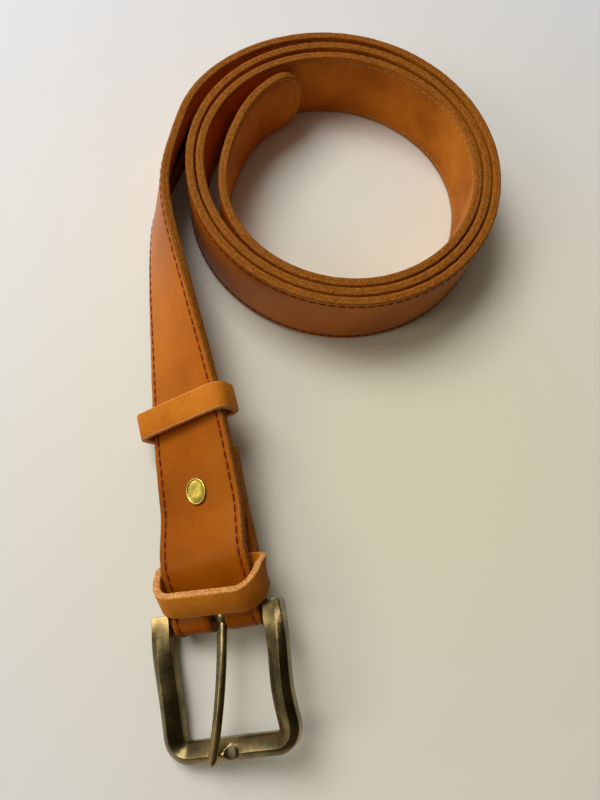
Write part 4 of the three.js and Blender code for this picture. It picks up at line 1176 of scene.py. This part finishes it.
def floor():
    """A painted table top, a little warmer in front of the coil than towards its borders; this warm-to-cool
    change is painted light, for warm room light and cool window light.
    """
    mesh = bpy.data.meshes.new("floor")
    corners = [(x, y, -0.0004) for x, y in rectangle(-3, 3, -3, 3)]
    mesh.from_pydata(corners, [], [(0, 1, 2, 3)])
    material, tree, shader = new_material("painted_table", Roughness=0.5, Specular_IOR_Level=0.3)
    spot = add(tree, "ShaderNodeTexCoord").outputs["Object"]
    away = add(tree, "ShaderNodeVectorMath", {0: spot, 1: (0.034, -0.047, 0)}, operation="DISTANCE")
    warm, cool, dull, light = (0.79, 0.73, 0.51), (0.79, 0.78, 0.80), (0.4, 0.4, 0.4), (0.6, 0.6, 0.6)
    # Painted light: warm in the middle, cool towards the borders, as the warm room light and the cool window
    # light fall.
    colour = ramp(tree, maths(tree, "DIVIDE", away.outputs["Value"], 0.3), [(0, warm), (1, cool)])
    colour = speckled(tree, 0.06, colour, texture(tree, "noise", 6, 2), (0.3, dull), (0.7, light))
    tree.links.new(colour, shader.inputs["Base Color"])
    mesh.materials.append(material)
    new_object("floor", mesh)


def area_light(name, place, size, power, colour):
    """A square light that faces the origin."""
    data = bpy.data.lights.new(name, "AREA")
    data.size = size
    data.energy = power
    data.color = colour
    light = new_object(name, data)
    light.location = place
    light.rotation_euler = (-Vector(place)).to_track_quat("-Z", "Y").to_euler()


def lighting():
    """A soft room, bright towards the window beyond the coil's left, dim and warm away from it."""
    bpy.context.scene.view_settings.view_transform = "Standard"
    world = bpy.data.worlds.new("world")
    bpy.context.scene.world = world
    world.use_nodes = True
    tree = world.node_tree
    direction = add(tree, "ShaderNodeTexCoord").outputs["Generated"]
    facing = add(tree, "ShaderNodeVectorMath", {0: direction, 1: (-0.375, 0.33, 0)}, operation="DOT_PRODUCT")
    share = maths(tree, "ADD", facing.outputs["Value"], 0.5)
    sky = ramp(tree, share, [(0.2, (0.10, 0.085, 0.06)), (0.4, (0.20, 0.18, 0.14)),
                             (0.54, (0.58, 0.55, 0.47)), (0.9, (1.0, 1.0, 0.96))])
    background = tree.nodes["Background"]
    tree.links.new(sky, background.inputs["Color"])
    background.inputs["Strength"].default_value = 0.47
    area_light("window", (-0.5, 0.65, 1.2), 0.8, 16, (0.94, 0.96, 1.0))
    area_light("lamp", (-0.95, -0.15, 0.75), 0.35, 2, (1.0, 0.95, 0.85))


def camera():
    """Looks steeply down from above the buckle, turned and rolled as a hand-held picture is."""
    yaw, pitch, roll = [math.radians(angle) for angle in CAMERA_ANGLES]
    right = Vector((math.cos(yaw), math.sin(yaw), 0))
    ahead = Vector((-math.sin(yaw), math.cos(yaw), 0))
    view = ahead * math.cos(pitch) - Vector((0, 0, 1)) * math.sin(pitch)
    up = ahead * math.sin(pitch) + Vector((0, 0, 1)) * math.cos(pitch)
    turned_right = right * math.cos(roll) + up * math.sin(roll)
    turned_up = up * math.cos(roll) - right * math.sin(roll)
    data = bpy.data.cameras.new("camera")
    data.lens = CAMERA_LENS
    data.clip_start = 0.01
    holder = new_object("camera", data)
    rotation = Matrix((turned_right, turned_up, -view)).transposed()
    place = Vector((*((BAR[:2] + CAMERA_FROM_BAR) * MM), CAMERA_HEIGHT * MM))
    holder.matrix_world = Matrix.Translation(place) @ rotation.to_4x4()
    bpy.context.scene.camera = holder


strap()
stitching()
free_keeper()
fixed_keeper()
buckle_frame()
buckle_bar()
prong()
rivet_post()
rivet_screw()
zip_tapes()
zip_rows()
zip_stops()
zip_slider()
zip_pull()
floor()
lighting()
camera()
